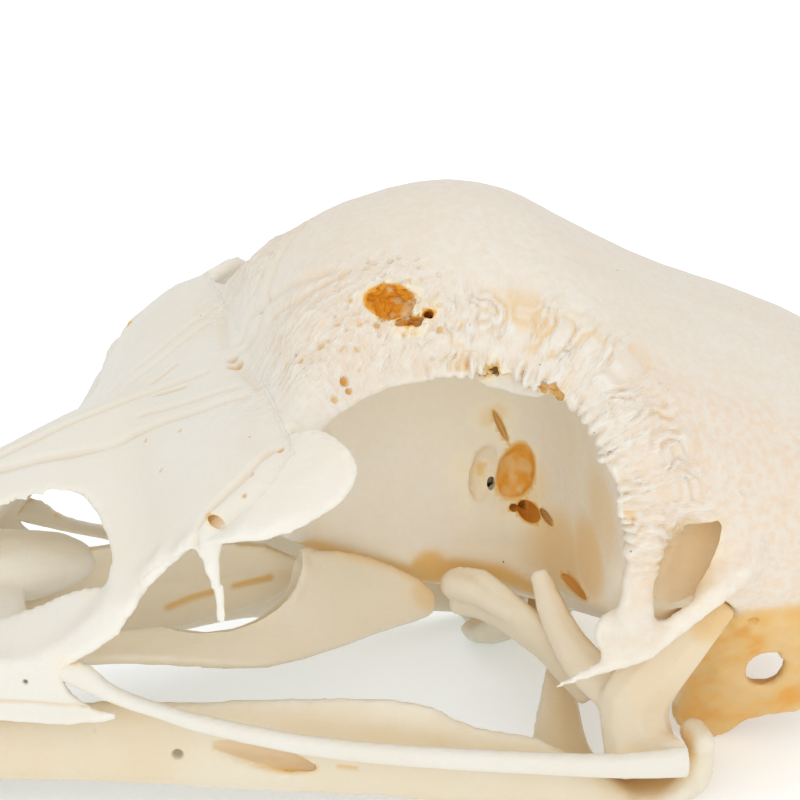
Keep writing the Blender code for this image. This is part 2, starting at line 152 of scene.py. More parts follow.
@dataclass(frozen=True)
class Pores:
    """Small round hollows, one or none to a cell; size is the largest's share of it."""

    cell: float
    size: float = 0.4
    seed: int = 5

    def at(self, spots: Array) -> Array:
        """How deep each spot lies in a pore, from 0 outside to 1 at its middle."""
        scaled = spots / self.cell
        base = np.floor(scaled).astype(np.int64)
        deepest = np.zeros(len(spots))
        for step in product((-1, 0, 1), repeat=3):
            cells = base + np.array(step)
            middle = cells + np.stack([scatter(cells, self.seed + k) for k in range(3)], axis=1)
            radius = self.size * scatter(cells, self.seed + 9)
            away = np.linalg.norm(scaled - middle, axis=1)
            deepest = np.maximum(deepest, 1 - away / np.maximum(radius, 1e-6))
        return np.clip(deepest, 0, 1)


def near_line(spots: Array, line: Array) -> tuple[Array, Array]:
    """Distance to a line of points, and how far along it the nearest place is.

    Args:
        spots: Places to measure, in millimetres.
        line: The points of the line.

    Returns:
        Two arrays: distance from the line and length along it, in millimetres.
    """
    best, along, start = np.full(len(spots), 1e9), np.zeros(len(spots)), 0.0
    for a, b in zip(line, line[1:]):
        length = float(np.linalg.norm(b - a))
        t = np.clip((spots - a) @ (b - a) / length ** 2, 0, 1)
        away = np.linalg.norm(spots - a - t[:, None] * (b - a), axis=1)
        closer = away < best
        best = np.where(closer, away, best)
        along = np.where(closer, start + t * length, along)
        start += length
    return best, along


def distance(spots: Array, line: Array) -> Array:
    """Distance to a line of points, or to a single one."""
    return near_line(spots, line)[0] if len(line) > 1 else np.linalg.norm(spots - line[0], axis=1)


def faded(value: Array, low: float, high: float) -> Array:
    """0 below low, 1 above high and a soft step between them."""
    t = np.clip((value - low) / (high - low), 0, 1)
    return t * t * (3 - 2 * t)


# Ambient occlusion from rays cast over each spot; the bone finishes paint it in as warm bounce
# light and shade in the hollows
class RecessField:
    """How shut in a spot is by the bones around it."""

    REACH = 26.0
    LIFT = 0.5
    RAYS = 22
    FAR_LOSS = 0.75

    def __init__(self, nodes: dict[str, Obj]) -> None:
        """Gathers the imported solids' faces into one tree.

        Args:
            nodes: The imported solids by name.
        """
        corners: list[Vector] = []
        faces: list[tuple[int, ...]] = []
        for name in sorted(nodes):
            mesh, start = nodes[name].data, len(corners)
            corners += [v.co / MM for v in mesh.vertices]
            faces += [tuple(start + i for i in p.vertices) for p in mesh.polygons]
        self.tree = BVHTree.FromPolygons(corners, faces)
        turns = [(k + 0.5) / self.RAYS for k in range(self.RAYS)]
        golden = math.pi * (3 - math.sqrt(5))
        self.fan = [Vector((math.sqrt(t) * math.cos(golden * k),
                            math.sqrt(t) * math.sin(golden * k), math.sqrt(1 - t)))
                    for k, t in enumerate(turns)]

    def at(self, spots: Array, normals: Array, samples: int) -> Array:
        """Share of the view over each spot that other bone takes up, from 0 to 1.

        Args:
            spots: Places on the surface, in millimetres.
            normals: Outward directions there.
            samples: How many of the spots are measured; the rest take their neighbours' values.

        Returns:
            One value for each spot.
        """
        step = max(1, len(spots) // samples)
        chosen = range(0, len(spots), step)
        tree = KDTree(len(chosen))
        values = []
        for i, index in enumerate(chosen):
            values.append(self._shut(Vector(spots[index]), Vector(normals[index])))
            tree.insert(Vector(spots[index]), i)
        tree.balance()
        out = np.zeros(len(spots))
        for i, spot in enumerate(spots):
            found = tree.find_n(Vector(spot), 5)
            weights = [1 / (away + 0.15) ** 2 for _, _, away in found]
            out[i] = sum(w * values[k] for w, (_, k, _) in zip(weights, found)) / sum(weights)
        return out

    def _shut(self, spot: Vector, normal: Vector) -> float:
        """The shut-in share at one spot."""
        turn = Vector((0, 0, 1)).rotation_difference(normal)
        start, closed = spot + normal * self.LIFT, 0.0
        for ray in self.fan:
            away = self.tree.ray_cast(start, turn @ ray, self.REACH)[3]
            if away is not None:
                closed += 1 - self.FAR_LOSS * away / self.REACH
        return closed / self.RAYS


# ---------------- marks on a bone


@dataclass(frozen=True)
class Groove:
    """A crease along a row of points, given on the left side, with stain gathered in it."""

    line: Line
    width: float = 0.3
    depth: float = 0.2
    stain: float = 0.4
    both: bool = True


@dataclass(frozen=True)
class Pit:
    """A small round hollow, given on the left side, or with no depth a wash of colour."""

    centre: Point
    radius: float = 0.3
    depth: float = 0.3
    stain: float = 0.7
    both: bool = False
    dirt: float = 0.0


@dataclass(frozen=True)
class Hollow:
    """An opening or a pocket cut out of a bone, given on the left side.

    Args:
        turn: Its turns about x, y and z, in degrees.
        ragged: How far its wall is broken up.
    """

    centre: Point
    radii: Point
    turn: Point = (0.0, 0.0, 0.0)
    ragged: float = 0.0
    stain: float = 0.9
    both: bool = False
    ragged_cell: float = 0.8

    def cutter(self, side: Side) -> Obj:
        """The body that is taken away, as an object.

        Args:
            side: The half of the head it cuts.

        Returns:
            The new object, at the origin.
        """
        select_only(None)
        bpy.ops.mesh.primitive_ico_sphere_add(subdivisions=5 if self.ragged else 3, radius=1.0)
        body = bpy.context.object
        spots = read_spots(body, 1.0)
        size = np.array(self.radii)
        if self.ragged:
            wave = Noise(self.ragged_cell, 41, 2).at(spots * size + np.array(self.centre))
            spots = spots * (1 + wave[:, None] * self.ragged / size.mean())
        turned = (spots * size) @ np.array(self._turned(side)).T + side.place(self.centre)
        write_spots(body, turned)
        return body

    def inside(self, spots: Array, side: Side) -> Array:
        """How far out each spot is, as a share of the hollow's own radii."""
        local = (spots - side.place(self.centre)) @ np.array(self._turned(side))
        return np.linalg.norm(local / np.array(self.radii), axis=1)

    def _turned(self, side: Side) -> list[list[float]]:
        """The hollow's own axes as a matrix of rows."""
        x, y, z = (math.radians(v) for v in self.turn)
        flip = -side.value
        return [list(row) for row in Euler((x * flip, y, z * flip)).to_matrix()]


def sides_of(mark: Groove | Pit | Hollow, own: Side) -> tuple[Side, ...]:
    """The halves of the head that a mark is on: both, or the bone's own."""
    return tuple(Side) if mark.both else (own,)


# ---------------- working on meshes

# Side view of the seam between the bill and the brow: x and z from the top down
SEAM = ((-1.2, 50.0), (-1.2, 30.9), (-8.2, 25.0), (-11.6, 21.4), (-11.6, -10.0))
SEAM_GAP = 0.51
ON_SEAM = 0.03
WELD = 0.002
SHARP_ANGLE = 58
CAVITY_RANGE = (0.004, 0.045)
CREST_RANGE = (0.006, 0.05)
SHALLOW = 0.15
MATERIAL_MARKS = ("stain", "porous", "rose", "dirt", "ridged", "streaked")


def select_only(obj: Obj | None) -> None:
    """Leaves one object, or none, selected and active."""
    if bpy.context.mode != "OBJECT":
        bpy.ops.object.mode_set(mode="OBJECT")
    for other in bpy.context.view_layer.objects:
        other.select_set(False)
    bpy.context.view_layer.objects.active = obj
    if obj is not None:
        obj.select_set(True)


@contextmanager
def editing(obj: Obj, action: str = "SELECT") -> Iterator[None]:
    """Edit mode on one object, with all of it selected, or none."""
    select_only(obj)
    bpy.ops.object.mode_set(mode="EDIT")
    bpy.ops.mesh.select_all(action=action)
    yield
    bpy.ops.object.mode_set(mode="OBJECT")


def place_object(name: str, data: bpy.types.ID) -> Obj:
    """A new object in the scene with this mesh, light or lens."""
    obj = bpy.data.objects.new(name, data)
    bpy.context.scene.collection.objects.link(obj)
    return obj


def read_spots(obj: Obj, unit: float = MM) -> Array:
    """An object's vertices as rows of x, y, z in the given unit."""
    flat = np.zeros(len(obj.data.vertices) * 3, np.float32)
    obj.data.vertices.foreach_get("co", flat)
    return flat.reshape(-1, 3).astype(float) / unit


def write_spots(obj: Obj, spots: Array) -> None:
    """Puts an object's vertices at the given places in millimetres."""
    obj.data.vertices.foreach_set("co", (spots * MM).astype(np.float32).ravel())
    obj.data.update()


class Workpiece:
    """One bone's mesh while it is being worked on."""

    def __init__(self, obj: Obj) -> None:
        """Takes over an object whose place is in its mesh."""
        self.obj = obj

    @classmethod
    def from_node(cls, node: str, name: str) -> "Workpiece":
        """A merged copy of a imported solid.

        Args:
            node: The solid's name.
            name: The new piece's name.

        Returns:
            The piece, with the solid itself left as it is.
        """
        obj = place_object(name, frame["nodes"][node].data.copy())
        obj.data.materials.clear()
        with editing(obj):
            bpy.ops.mesh.remove_doubles(threshold=WELD * MM)
        return cls(obj)

    def meet(self, shift: float, foot: float) -> None:
        """Moves the flat face at the seam between bill and head, so that the two can grow together.

        Args:
            shift: How far it moves along x, below zero for the bones behind the seam.
            foot: Height under which nothing moves.
        """
        spots = self.spots()
        line_x, line_z = np.array(SEAM)[::-1].T
        seam = np.interp(spots[:, 2], line_z, line_x) + (SEAM_GAP if shift < 0 else 0.0)
        on_face = (np.abs(spots[:, 0] - seam) < ON_SEAM) & (spots[:, 2] > foot)
        spots[on_face, 0] += shift
        write_spots(self.obj, spots)

    def modify(self, kind: str, **settings: object) -> None:
        """Adds a modifier with these settings and applies it."""
        modifier = self.obj.modifiers.new(kind.lower(), kind)
        for key, value in settings.items():
            setattr(modifier, key, value)
        select_only(self.obj)
        bpy.ops.object.modifier_apply(modifier=modifier.name)

    def carve(self, hollows: Sequence[Hollow], own: Side) -> None:
        """Cuts the hollows out together, on each side that has them."""
        if not hollows:
            return
        shelf = bpy.data.collections.new("cutters")
        bpy.context.scene.collection.children.link(shelf)
        for hollow in hollows:
            for side in sides_of(hollow, own):
                shelf.objects.link(hollow.cutter(side))
        self.modify("BOOLEAN", operation="DIFFERENCE", solver="MANIFOLD",
                    operand_type="COLLECTION", collection=shelf)
        for cutter in list(shelf.objects):
            bpy.data.objects.remove(cutter)
        bpy.data.collections.remove(shelf)

    def keep(self, block: Obj, inside: bool) -> None:
        """Keeps only what is inside, or only what is outside, a block."""
        self.modify("BOOLEAN", operation="INTERSECT" if inside else "DIFFERENCE",
                    solver="MANIFOLD", object=block)

    def copy(self, name: str) -> "Workpiece":
        """Another piece with the same mesh and the same values on it."""
        return Workpiece(place_object(name, self.obj.data.copy()))

    def graft(self, parts: Sequence[Obj]) -> None:
        """Joins other objects in, for a remesh to grow them together."""
        if not parts:
            return
        select_only(self.obj)
        for part in parts:
            part.select_set(True)
        bpy.ops.object.join()

    def grow(self, grain: float, easing: int) -> None:
        """Makes one even skin over everything and eases its facets.

        Args:
            grain: Size of the skin's faces.
            easing: How often it is smoothed.
        """
        self.modify("REMESH", mode="VOXEL", voxel_size=grain * MM)
        if easing:
            self.modify("SMOOTH", factor=0.5, iterations=easing)

    def refine(self, wanted: Array) -> None:
        """Splits the faces whose corners are all wanted into finer ones.

        Args:
            wanted: True or False for each vertex.
        """
        with editing(self.obj, "DESELECT"):
            pass
        faces = self.obj.data.polygons
        faces.foreach_set("select", [all(wanted[i] for i in face.vertices) for face in faces])
        bpy.ops.object.mode_set(mode="EDIT")
        bpy.ops.mesh.select_mode(type="FACE")
        bpy.ops.mesh.subdivide(number_cuts=1, smoothness=0.0, quadcorner="INNERVERT")
        bpy.ops.mesh.vertices_smooth(factor=0.5, repeat=2)
        bpy.ops.object.mode_set(mode="OBJECT")

    def halve(self, side: Side) -> None:
        """Keeps the half on one side of the head and closes its cut face."""
        with editing(self.obj):
            bpy.ops.mesh.bisect(plane_co=(0.0, 0.0, 0.0), plane_no=(0.0, 1.0, 0.0), use_fill=True,
                                clear_inner=side is Side.RIGHT, clear_outer=side is Side.LEFT)

    def spots(self) -> Array:
        """The vertices in millimetres."""
        return read_spots(self.obj)

    def normals(self) -> Array:
        """The outward direction at each vertex."""
        flat = np.zeros(len(self.obj.data.vertices) * 3, np.float32)
        self.obj.data.vertex_normals.foreach_get("vector", flat)
        return flat.reshape(-1, 3).astype(float)

    def hollowness(self, spread: int) -> Array:
        """How hollow, above zero, or how proud, below zero, each vertex lies.

        Args:
            spread: How many times the values are evened out with their neighbours'.

        Returns:
            One value for each vertex, in millimetres.
        """
        ends = np.zeros(len(self.obj.data.edges) * 2, np.int32)
        self.obj.data.edges.foreach_get("vertices", ends)
        one, other = ends.reshape(-1, 2).T
        spots, count = self.spots(), len(self.obj.data.vertices)
        links = np.bincount(one, minlength=count) + np.bincount(other, minlength=count)
        links = np.maximum(links, 1)

        def around(values: Array) -> Array:
            total = np.bincount(one, values[other], count) + np.bincount(other, values[one], count)
            return total / links

        middle = np.stack([around(spots[:, axis]) for axis in range(3)], axis=1)
        hollow = np.sum((middle - spots) * self.normals(), axis=1)
        for _ in range(spread):
            hollow = 0.5 * hollow + 0.5 * around(hollow)
        return hollow

    def write(self, name: str, values: Array) -> None:
        """Keeps a value from 0 to 1, or a vector, for each vertex as a named attribute."""
        kind, field = ("FLOAT", "value") if values.ndim == 1 else ("FLOAT_VECTOR", "vector")
        attribute = self.obj.data.attributes.new(name, kind, "POINT")
        kept = np.clip(values, 0, 1) if values.ndim == 1 else values.ravel()
        attribute.data.foreach_set(field, kept.astype(np.float32))

    def finish(self, materials: Materials, slot: str, nodes: Sequence[str]) -> None:
        """Gives the piece its material and puts it in the place of its solids.

        Args:
            materials: The finishes as materials, by slot name.
            slot: The record's name for its finish.
            nodes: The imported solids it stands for.
        """
        self.obj.data.materials.clear()
        self.obj.data.materials.append(materials[slot])
        self.obj.data.shade_smooth()
        self.obj.data.set_sharp_from_angle(angle=math.radians(SHARP_ANGLE))
        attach(self.obj, BODY)
        if nodes:
            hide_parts(*nodes)
        faces = sum(len(p.vertices) - 2 for p in self.obj.data.polygons)
        LOG.info("%s: %d triangles", self.obj.name, faces)


class Relief:
    """Heights and stains gathered over a piece before they are pressed into it."""

    def __init__(self, piece: Workpiece, own: Side) -> None:
        """Reads the piece's vertices and normals."""
        self.piece, self.own = piece, own
        self.spots = piece.spots()
        self.normals = piece.normals()
        count = len(self.spots)
        self.height = np.zeros(count)
        self.flow = np.zeros((count, 3))
        self.marks = {name: np.zeros(count) for name in MATERIAL_MARKS}

    def raise_mark(self, name: str, values: Array) -> None:
        """Raises a mark of the finish to at least these values."""
        self.marks[name] = np.maximum(self.marks[name], values)

    def record(self, recesses: RecessField, samples: int) -> None:
        """Presses the heights in and writes every mark on the piece.

        Args:
            recesses: How shut in each spot is.
            samples: How many spots are measured for that.
        """
        self.press()
        hollow = self.piece.hollowness(2)
        for name, values in self.marks.items():
            self.piece.write(name, values)
        # How hollow and how proud each spot lies, for painted shade in the hollows and a painted
        # highlight on the crests
        self.piece.write("cavity_tan_and_shade", faded(hollow, *CAVITY_RANGE))
        self.piece.write("crest_wear_and_highlight", faded(-hollow, *CREST_RANGE))
        # Ambient occlusion, kept for the painted bounce light and painted shade of the finish
        self.piece.write("occlusion_shade", recesses.at(self.spots, self.normals, samples))
        self.piece.write("flow", self.flow)

    def groove(self, mark: Groove) -> None:
        """Adds a crease."""
        for side in sides_of(mark, self.own):
            line = side.line(mark.line)
            near = self._around(line, mark.width * 4)
            away, _ = near_line(self.spots[near], line)
            self._press(near, np.exp(-(away / mark.width) ** 2), mark.depth, mark.stain)

    def pit(self, mark: Pit) -> None:
        """Adds a small round hollow."""
        for side in sides_of(mark, self.own):
            centre = side.place(mark.centre)
            near = self._around(centre[None, :], mark.radius * 3)
            away = np.linalg.norm(self.spots[near] - centre, axis=1)
            share = 1 - faded(away, mark.radius * 0.45, mark.radius * 1.25)
            self._press(near, share, mark.depth, mark.stain)
            if side is Side.LEFT:
                self.marks["dirt"][near] = np.maximum(self.marks["dirt"][near], share * mark.dirt)

    def tint(self, hollow: Hollow) -> None:
        """Stains the wall of a cut hollow."""
        for side in sides_of(hollow, self.own):
            out = hollow.inside(self.spots, side)
            share = (1 - faded(out, 0.96, 1.16)) * hollow.stain
            self.raise_mark("stain", share)

    def press(self) -> None:
        """Moves the vertices by their heights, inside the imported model's box."""
        moved = self.spots + self.normals * self.height[:, None]
        low, high = (np.array(corner) / MM for corner in CAD_BOX)
        write_spots(self.piece.obj, np.clip(moved, low, high))

    def _around(self, line: Array, room: float) -> Array:
        """The numbers of the vertices in a line's box with some room round it."""
        low, high = line.min(axis=0) - room, line.max(axis=0) + room
        return np.flatnonzero(np.all((self.spots > low) & (self.spots < high), axis=1))

    def _press(self, near: Array, share: Array, depth: float, stain: float) -> None:
        """Adds a mark's share of depth and stain to some vertices."""
        self.height[near] -= share * depth
        stains = self.marks["stain"]
        stains[near] = np.maximum(stains[near], share * stain)


# ---------------- materials


def operator(how: str, swapped: bool = False) -> Callable[["Socket", object], "Socket"]:
    """A method that adds a Math node for a sign between two values."""
    def method(self: "Socket", other: object) -> "Socket":
        pair = (other, self) if swapped else (self, other)
        return self.maker.add("ShaderNodeMath", {"operation": how}, dict(enumerate(pair)))

    return method


class Socket:
    """A node's output on which sums can be written as plain expressions."""

    __add__ = __radd__ = operator("ADD")
    __sub__, __rsub__ = operator("SUBTRACT"), operator("SUBTRACT", True)
    __mul__ = __rmul__ = operator("MULTIPLY")

    def __init__(self, maker: "Shader", link: bpy.types.NodeSocket) -> None:
        """Wraps an output socket."""
        self.maker, self.link = maker, link

    def step(self, low: float, high: float) -> "Socket":
        """0 below low, 1 above high and a soft step between them."""
        return self.maker.add("ShaderNodeMapRange", {"interpolation_type": "SMOOTHSTEP"},
                              {"Value": self, "From Min": low, "From Max": high})


class Shader:
    """A material's nodes, added one call at a time."""

    def __init__(self, name: str) -> None:
        """Starts a material with only its shader and its output."""
        self.material = bpy.data.materials.new(name)
        self.material.use_nodes = True
        self.tree = self.material.node_tree
        self.principled = self.tree.nodes["Principled BSDF"]
        self.place = self.add("ShaderNodeTexCoord", out="Object")

    def add(self, kind: str, settings: dict[str, object] | None = None,
            inputs: dict[object, object] | None = None, out: object = 0) -> Socket:
        """Adds a node.

        Args:
            kind: The node's type.
            settings: Its properties, set before its sockets.
            inputs: Values or sockets for its inputs, by name or number.
            out: Which output is returned.

        Returns:
            The chosen output.
        """
        node = self.tree.nodes.new(kind)
        for key, value in (settings or {}).items():
            setattr(node, key, value)
        for key, value in (inputs or {}).items():
            self._feed(node.inputs[key], value)
        return Socket(self, node.outputs[out])

    def _feed(self, target: bpy.types.NodeSocket, value: object) -> None:
        """Links a socket or sets a value on an input."""
        if isinstance(value, Socket):
            self.tree.links.new(value.link, target)
        else:
            target.default_value = value

    def set(self, name: str, value: object) -> None:
        """Links or sets one of the shader's own sockets."""
        self._feed(self.principled.inputs[name], value)

    def noise(self, size: float, layers: float = 3.0, rough: float = 0.55) -> Socket:
        """Cloudy noise with waves of a size in millimetres."""
        return self.add("ShaderNodeTexNoise", None, {
            "Vector": self.place, "Scale": 1 / (size * MM), "Detail": layers, "Roughness": rough})

    def stretched(self, vector: Socket, rows: Sequence[Sequence[float]]) -> Socket:
        """Noise whose waves are turned and stretched by three rows of factors."""
        parts = [self.add("ShaderNodeVectorMath", {"operation": "DOT_PRODUCT"},
                          {0: vector, 1: tuple(row)}, out="Value") for row in rows]
        turned = self.add("ShaderNodeCombineXYZ", None, dict(enumerate(parts)))
        return self.add("ShaderNodeTexNoise", None, {
            "Vector": turned, "Scale": 1.0, "Detail": 2.0, "Roughness": 0.6})

    def cells(self, size: float, out: str = "Distance") -> Socket:
        """Distance from the middle of cells of a size in millimetres."""
        return self.add("ShaderNodeTexVoronoi", {"feature": "F1"}, {
            "Vector": self.place, "Scale": 1 / (size * MM)}, out)

    def mark(self, name: str) -> Socket:
        """A value kept on the piece's vertices."""
        return self.add("ShaderNodeAttribute", {"attribute_name": name}, out="Fac")

    def mix(self, share: object, low: object, high: object) -> Socket:
        """A colour between two others."""
        wide = [(*c, 1.0) if isinstance(c, tuple) else c for c in (low, high)]
        return self.add("ShaderNodeMix", {"data_type": "RGBA"},
                        {0: share, 6: wide[0], 7: wide[1]}, 2)


@dataclass(frozen=True)
class BoneFinish:
    """Clean dry bone.

    lit and warm colour the open surface. shut and deep colour what other bone shuts in: painted
    bounce light and painted shade set by ambient occlusion, with the yellowing old bone keeps in
    its recesses. tan colours the hollows and worn the crests of the relief: painted shade and
    painted highlight that make the relief read, with the bone's own tan and wear. ochre and amber
    the stains, rose the spongy zones.
    """

    name: str
    lit: Colour
    warm: Colour
    # Painted bounce light (shut) and painted shade (deep) for surfaces that other bone shuts in,
    # with the yellowing old bone keeps there
    shut: Colour
    deep: Colour = (0.78, 0.54, 0.24)
    # Painted shade in the hollows (tan) and painted highlight on the crests (worn), with the bone's
    # own tan and wear
    tan: Colour = (0.74, 0.58, 0.40)
    wear_and_highlight: Colour = (0.84, 0.80, 0.71)
    dirt: Colour = (0.12, 0.085, 0.05)
    ochre: Colour = (0.74, 0.47, 0.17)
    amber: Colour = (0.74, 0.30, 0.012)
    rose: Colour = (0.76, 0.62, 0.48)
    gloss: float = 0.42
    cloud: float = 0.55
    grain: float = 0.03

    def material(self) -> bpy.types.Material:
        """The finish as a material, on Object coordinates and the piece's attributes."""
        shader = Shader(self.name)
        stain, occlusion_shade = shader.mark("stain"), shader.mark("occlusion_shade")
        porous, rose = shader.mark("porous"), shader.mark("rose")
        broad, middle = shader.noise(7.0, 1.0), shader.noise(1.3, 3.0, 0.65)
        fine = shader.noise(0.28, 1.0)
        holes = 1 - shader.cells(0.7).step(0.12, 0.42)
        holes = holes * middle.step(0.42, 0.62) * porous * (1 - stain)
        lines = self._ridges(shader)
        mottle = shader.noise(0.62, 1.0).step(0.34, 0.66)
        dark = 1 - (1 - shader.mark("dirt")) * (1 - self._flecks(shader))
        colour: object = self.lit
        for share, over in (
                (broad.step(0.38, 0.68) * self.cloud, self.warm),
                (middle.step(0.50, 0.76) * 0.35, self.warm),
                (rose * (0.45 + 0.55 * mottle), self.rose),
                # Painted bounce light and painted shade from ambient occlusion: the warm shut
                # colour where other bone shuts the surface in, the darker deep colour in the
                # deepest places; also the yellowing old bone keeps in its recesses
                (occlusion_shade.step(0.08, 0.62), self.shut),
                (occlusion_shade.step(0.50, 0.95), self.deep),
                # Painted highlight and painted shade that make the relief read: lighter on crests
                # and ridge tops, partly also wear; tan in hollows, pore dents and ridge valleys,
                # partly also the bone's own tan there
                (shader.mark("crest_wear_and_highlight") * 0.7, self.wear_and_highlight),
                (shader.mark("cavity_tan_and_shade") * 0.55, self.tan),
                (holes * 0.45, self.tan),
                ((1 - lines.step(-0.25, 0.05)) * 0.5, self.tan),
                (lines.step(0.02, 0.25) * 0.5, self.wear_and_highlight),
                (stain.step(0.02, 0.55), self.ochre),
                (stain.step(0.5, 0.95), self.amber),
                (dark, self.dirt)):
            colour = shader.mix(share, colour, over)
        shader.set("Base Color", colour)
        shader.set("Roughness", self.gloss + 0.16 * middle + 0.25 * porous + 0.10 * holes)
        height = self.grain * fine + 0.045 * middle - 0.12 * holes + 0.34 * lines
        shader.set("Normal", shader.add("ShaderNodeBump", None, {
            "Strength": 0.9, "Distance": MM, "Height": height}))
        shader.set("Specular IOR Level", 0.42)
        return shader.material

    def _ridges(self, shader: Shader) -> Socket:
        """Fine ridges that run away from the rim and streaks on the brow, about zero elsewhere."""
        flow = shader.add("ShaderNodeAttribute", {"attribute_name": "flow"}, out="Vector")
        fans = shader.stretched(flow, ((2.2, 0, 0), (0, 0.55, 0), (0, 0, 1.0)))
        turned = ((1.5, 0, -1.2), (0.35, 2.2, -0.9), (0.31, 0.15, 0.39))
        streaks = shader.stretched(shader.place, [[v / MM for v in row] for row in turned])
        return (shader.mark("ridged") * (fans - 0.5) + shader.mark("streaked") * (streaks - 0.5))

    def _flecks(self, shader: Shader) -> Socket:
        """Fine dark pinpricks, one in a few cells."""
        dot = 1 - shader.cells(2.6).step(0.018, 0.036)
        pick = shader.add("ShaderNodeSeparateColor", None,
                          {"Color": shader.cells(2.6, out="Color")}).step(0.62, 0.66)
        return dot * pick * 0.85


IVORY = BoneFinish("ivory_bone", (0.765, 0.735, 0.66), (0.755, 0.705, 0.60), (0.82, 0.74, 0.58))
PINKISH = BoneFinish("pinkish_bone", (0.76, 0.735, 0.67), (0.75, 0.70, 0.60), (0.84, 0.755, 0.58),
                     gloss=0.46)
CREAM = BoneFinish("cream_bone", (0.77, 0.69, 0.54), (0.75, 0.65, 0.48), (0.83, 0.71, 0.52),
                   gloss=0.38)
TAN = BoneFinish("tan_bone", (0.76, 0.68, 0.53), (0.74, 0.63, 0.45), (0.74, 0.59, 0.37), gloss=0.40)


@dataclass(frozen=True)
class FloorFinish:
    """A pale studio floor that glows faintly: painted light that brightens its shadows under the
    skull.
    """

    colour: Colour = (0.93, 0.93, 0.93)
    shade: Colour = (0.90, 0.90, 0.905)
    glow_colour: Colour = (0.80, 0.93, 1.0)
    glow: float = 0.28

    def material(self) -> bpy.types.Material:
        """The floor's material."""
        shader = Shader("pale_floor")
        cloud = shader.noise(60.0, 2.0)
        shader.set("Base Color", shader.mix(cloud.step(0.3, 0.7), self.colour, self.shade))
        shader.set("Roughness", 0.55 + 0.1 * cloud)
        shader.set("Specular IOR Level", 0.2)
        # Painted light: a faint even glow from the floor itself, which brightens its shadows under
        # the skull
        shader.set("Emission Color", (*self.glow_colour, 1.0))
        shader.set("Emission Strength", self.glow)
        shader.material.cycles.emission_sampling = "NONE"
        return shader.material


class Cluster:
    """Many balls and rods gathered into one object, for a remesh to grow them on."""

    def __init__(self) -> None:
        """Makes one ball and one rod as patterns."""
        select_only(None)
        bpy.ops.mesh.primitive_ico_sphere_add(subdivisions=2, radius=1.0)
        self.ball_shape = self._pattern(bpy.context.object)
        bpy.ops.mesh.primitive_cylinder_add(vertices=12, radius=1.0, depth=1.0)
        self.rod_shape = self._pattern(bpy.context.object)
        self.spots: list[Array] = []
        self.faces: list[tuple[int, ...]] = []

    def ball(self, spot: Sequence[float], radius: float) -> None:
        """Adds a ball."""
        self._add(self.ball_shape, np.eye(3) * radius, spot)

    def strand(self, line: Sequence[Array], radius: float) -> None:
        """Adds rods with rounded joints along a row of points.

        Args:
            line: The points.
            radius: Radius of the rods.
        """
        for spot in line:
            self.ball(spot, radius)
        for a, b in zip(line, line[1:]):
            leg = Vector(b) - Vector(a)
            turn = np.array(leg.to_track_quat("Z", "Y").to_matrix())
            self._add(self.rod_shape, turn @ np.diag((radius, radius, leg.length)),
                      (np.array(a) + np.array(b)) / 2)

    def objects(self) -> list[Obj]:
        """Everything gathered as one new object, or nothing."""
        if not self.spots:
            return []
        mesh = bpy.data.meshes.new("lumps")
        mesh.from_pydata((np.concatenate(self.spots) * MM).tolist(), [], self.faces)
        return [place_object("lumps", mesh)]

    def _pattern(self, obj: Obj) -> tuple[Array, list[tuple[int, ...]]]:
        """An object's vertices and faces, with the object itself taken away."""
        shape = read_spots(obj, 1.0), [tuple(p.vertices) for p in obj.data.polygons]
        bpy.data.objects.remove(obj)
        return shape

    def _add(self, shape: tuple[Array, list[tuple[int, ...]]], turn: Array,
             spot: Sequence[float]) -> None:
        """Adds a pattern, turned, stretched and moved."""
        start = sum(len(spots) for spots in self.spots)
        self.spots.append(shape[0] @ turn.T + np.array(spot, float))
        self.faces += [tuple(start + i for i in face) for face in shape[1]]


# ---------------- the bones

# Rim of the left eye socket, from its front corner over the top to its rear corner
RIM: Line = (
    (-0.6, -15.2, 30.4), (0.1, -14.8, 31.2), (1.6, -14.2, 31.7), (3.2, -13.2, 31.9),
    (5.2, -12.2, 32.6), (7.6, -11.5, 33.0), (10.9, -11.2, 33.1), (13.6, -11.5, 33.0),
    (15.6, -12.2, 32.8), (17.5, -13.3, 32.2), (18.7, -14.2, 31.6), (19.9, -15.2, 30.8),
    (21.2, -17.0, 28.6), (22.0, -17.8, 26.8), (22.4, -18.4, 25.0), (22.3, -18.8, 22.5),
    (22.2, -19.2, 19.5))
SOCKET_MIDDLE: Point = (11.2, -14.0, 20.5)


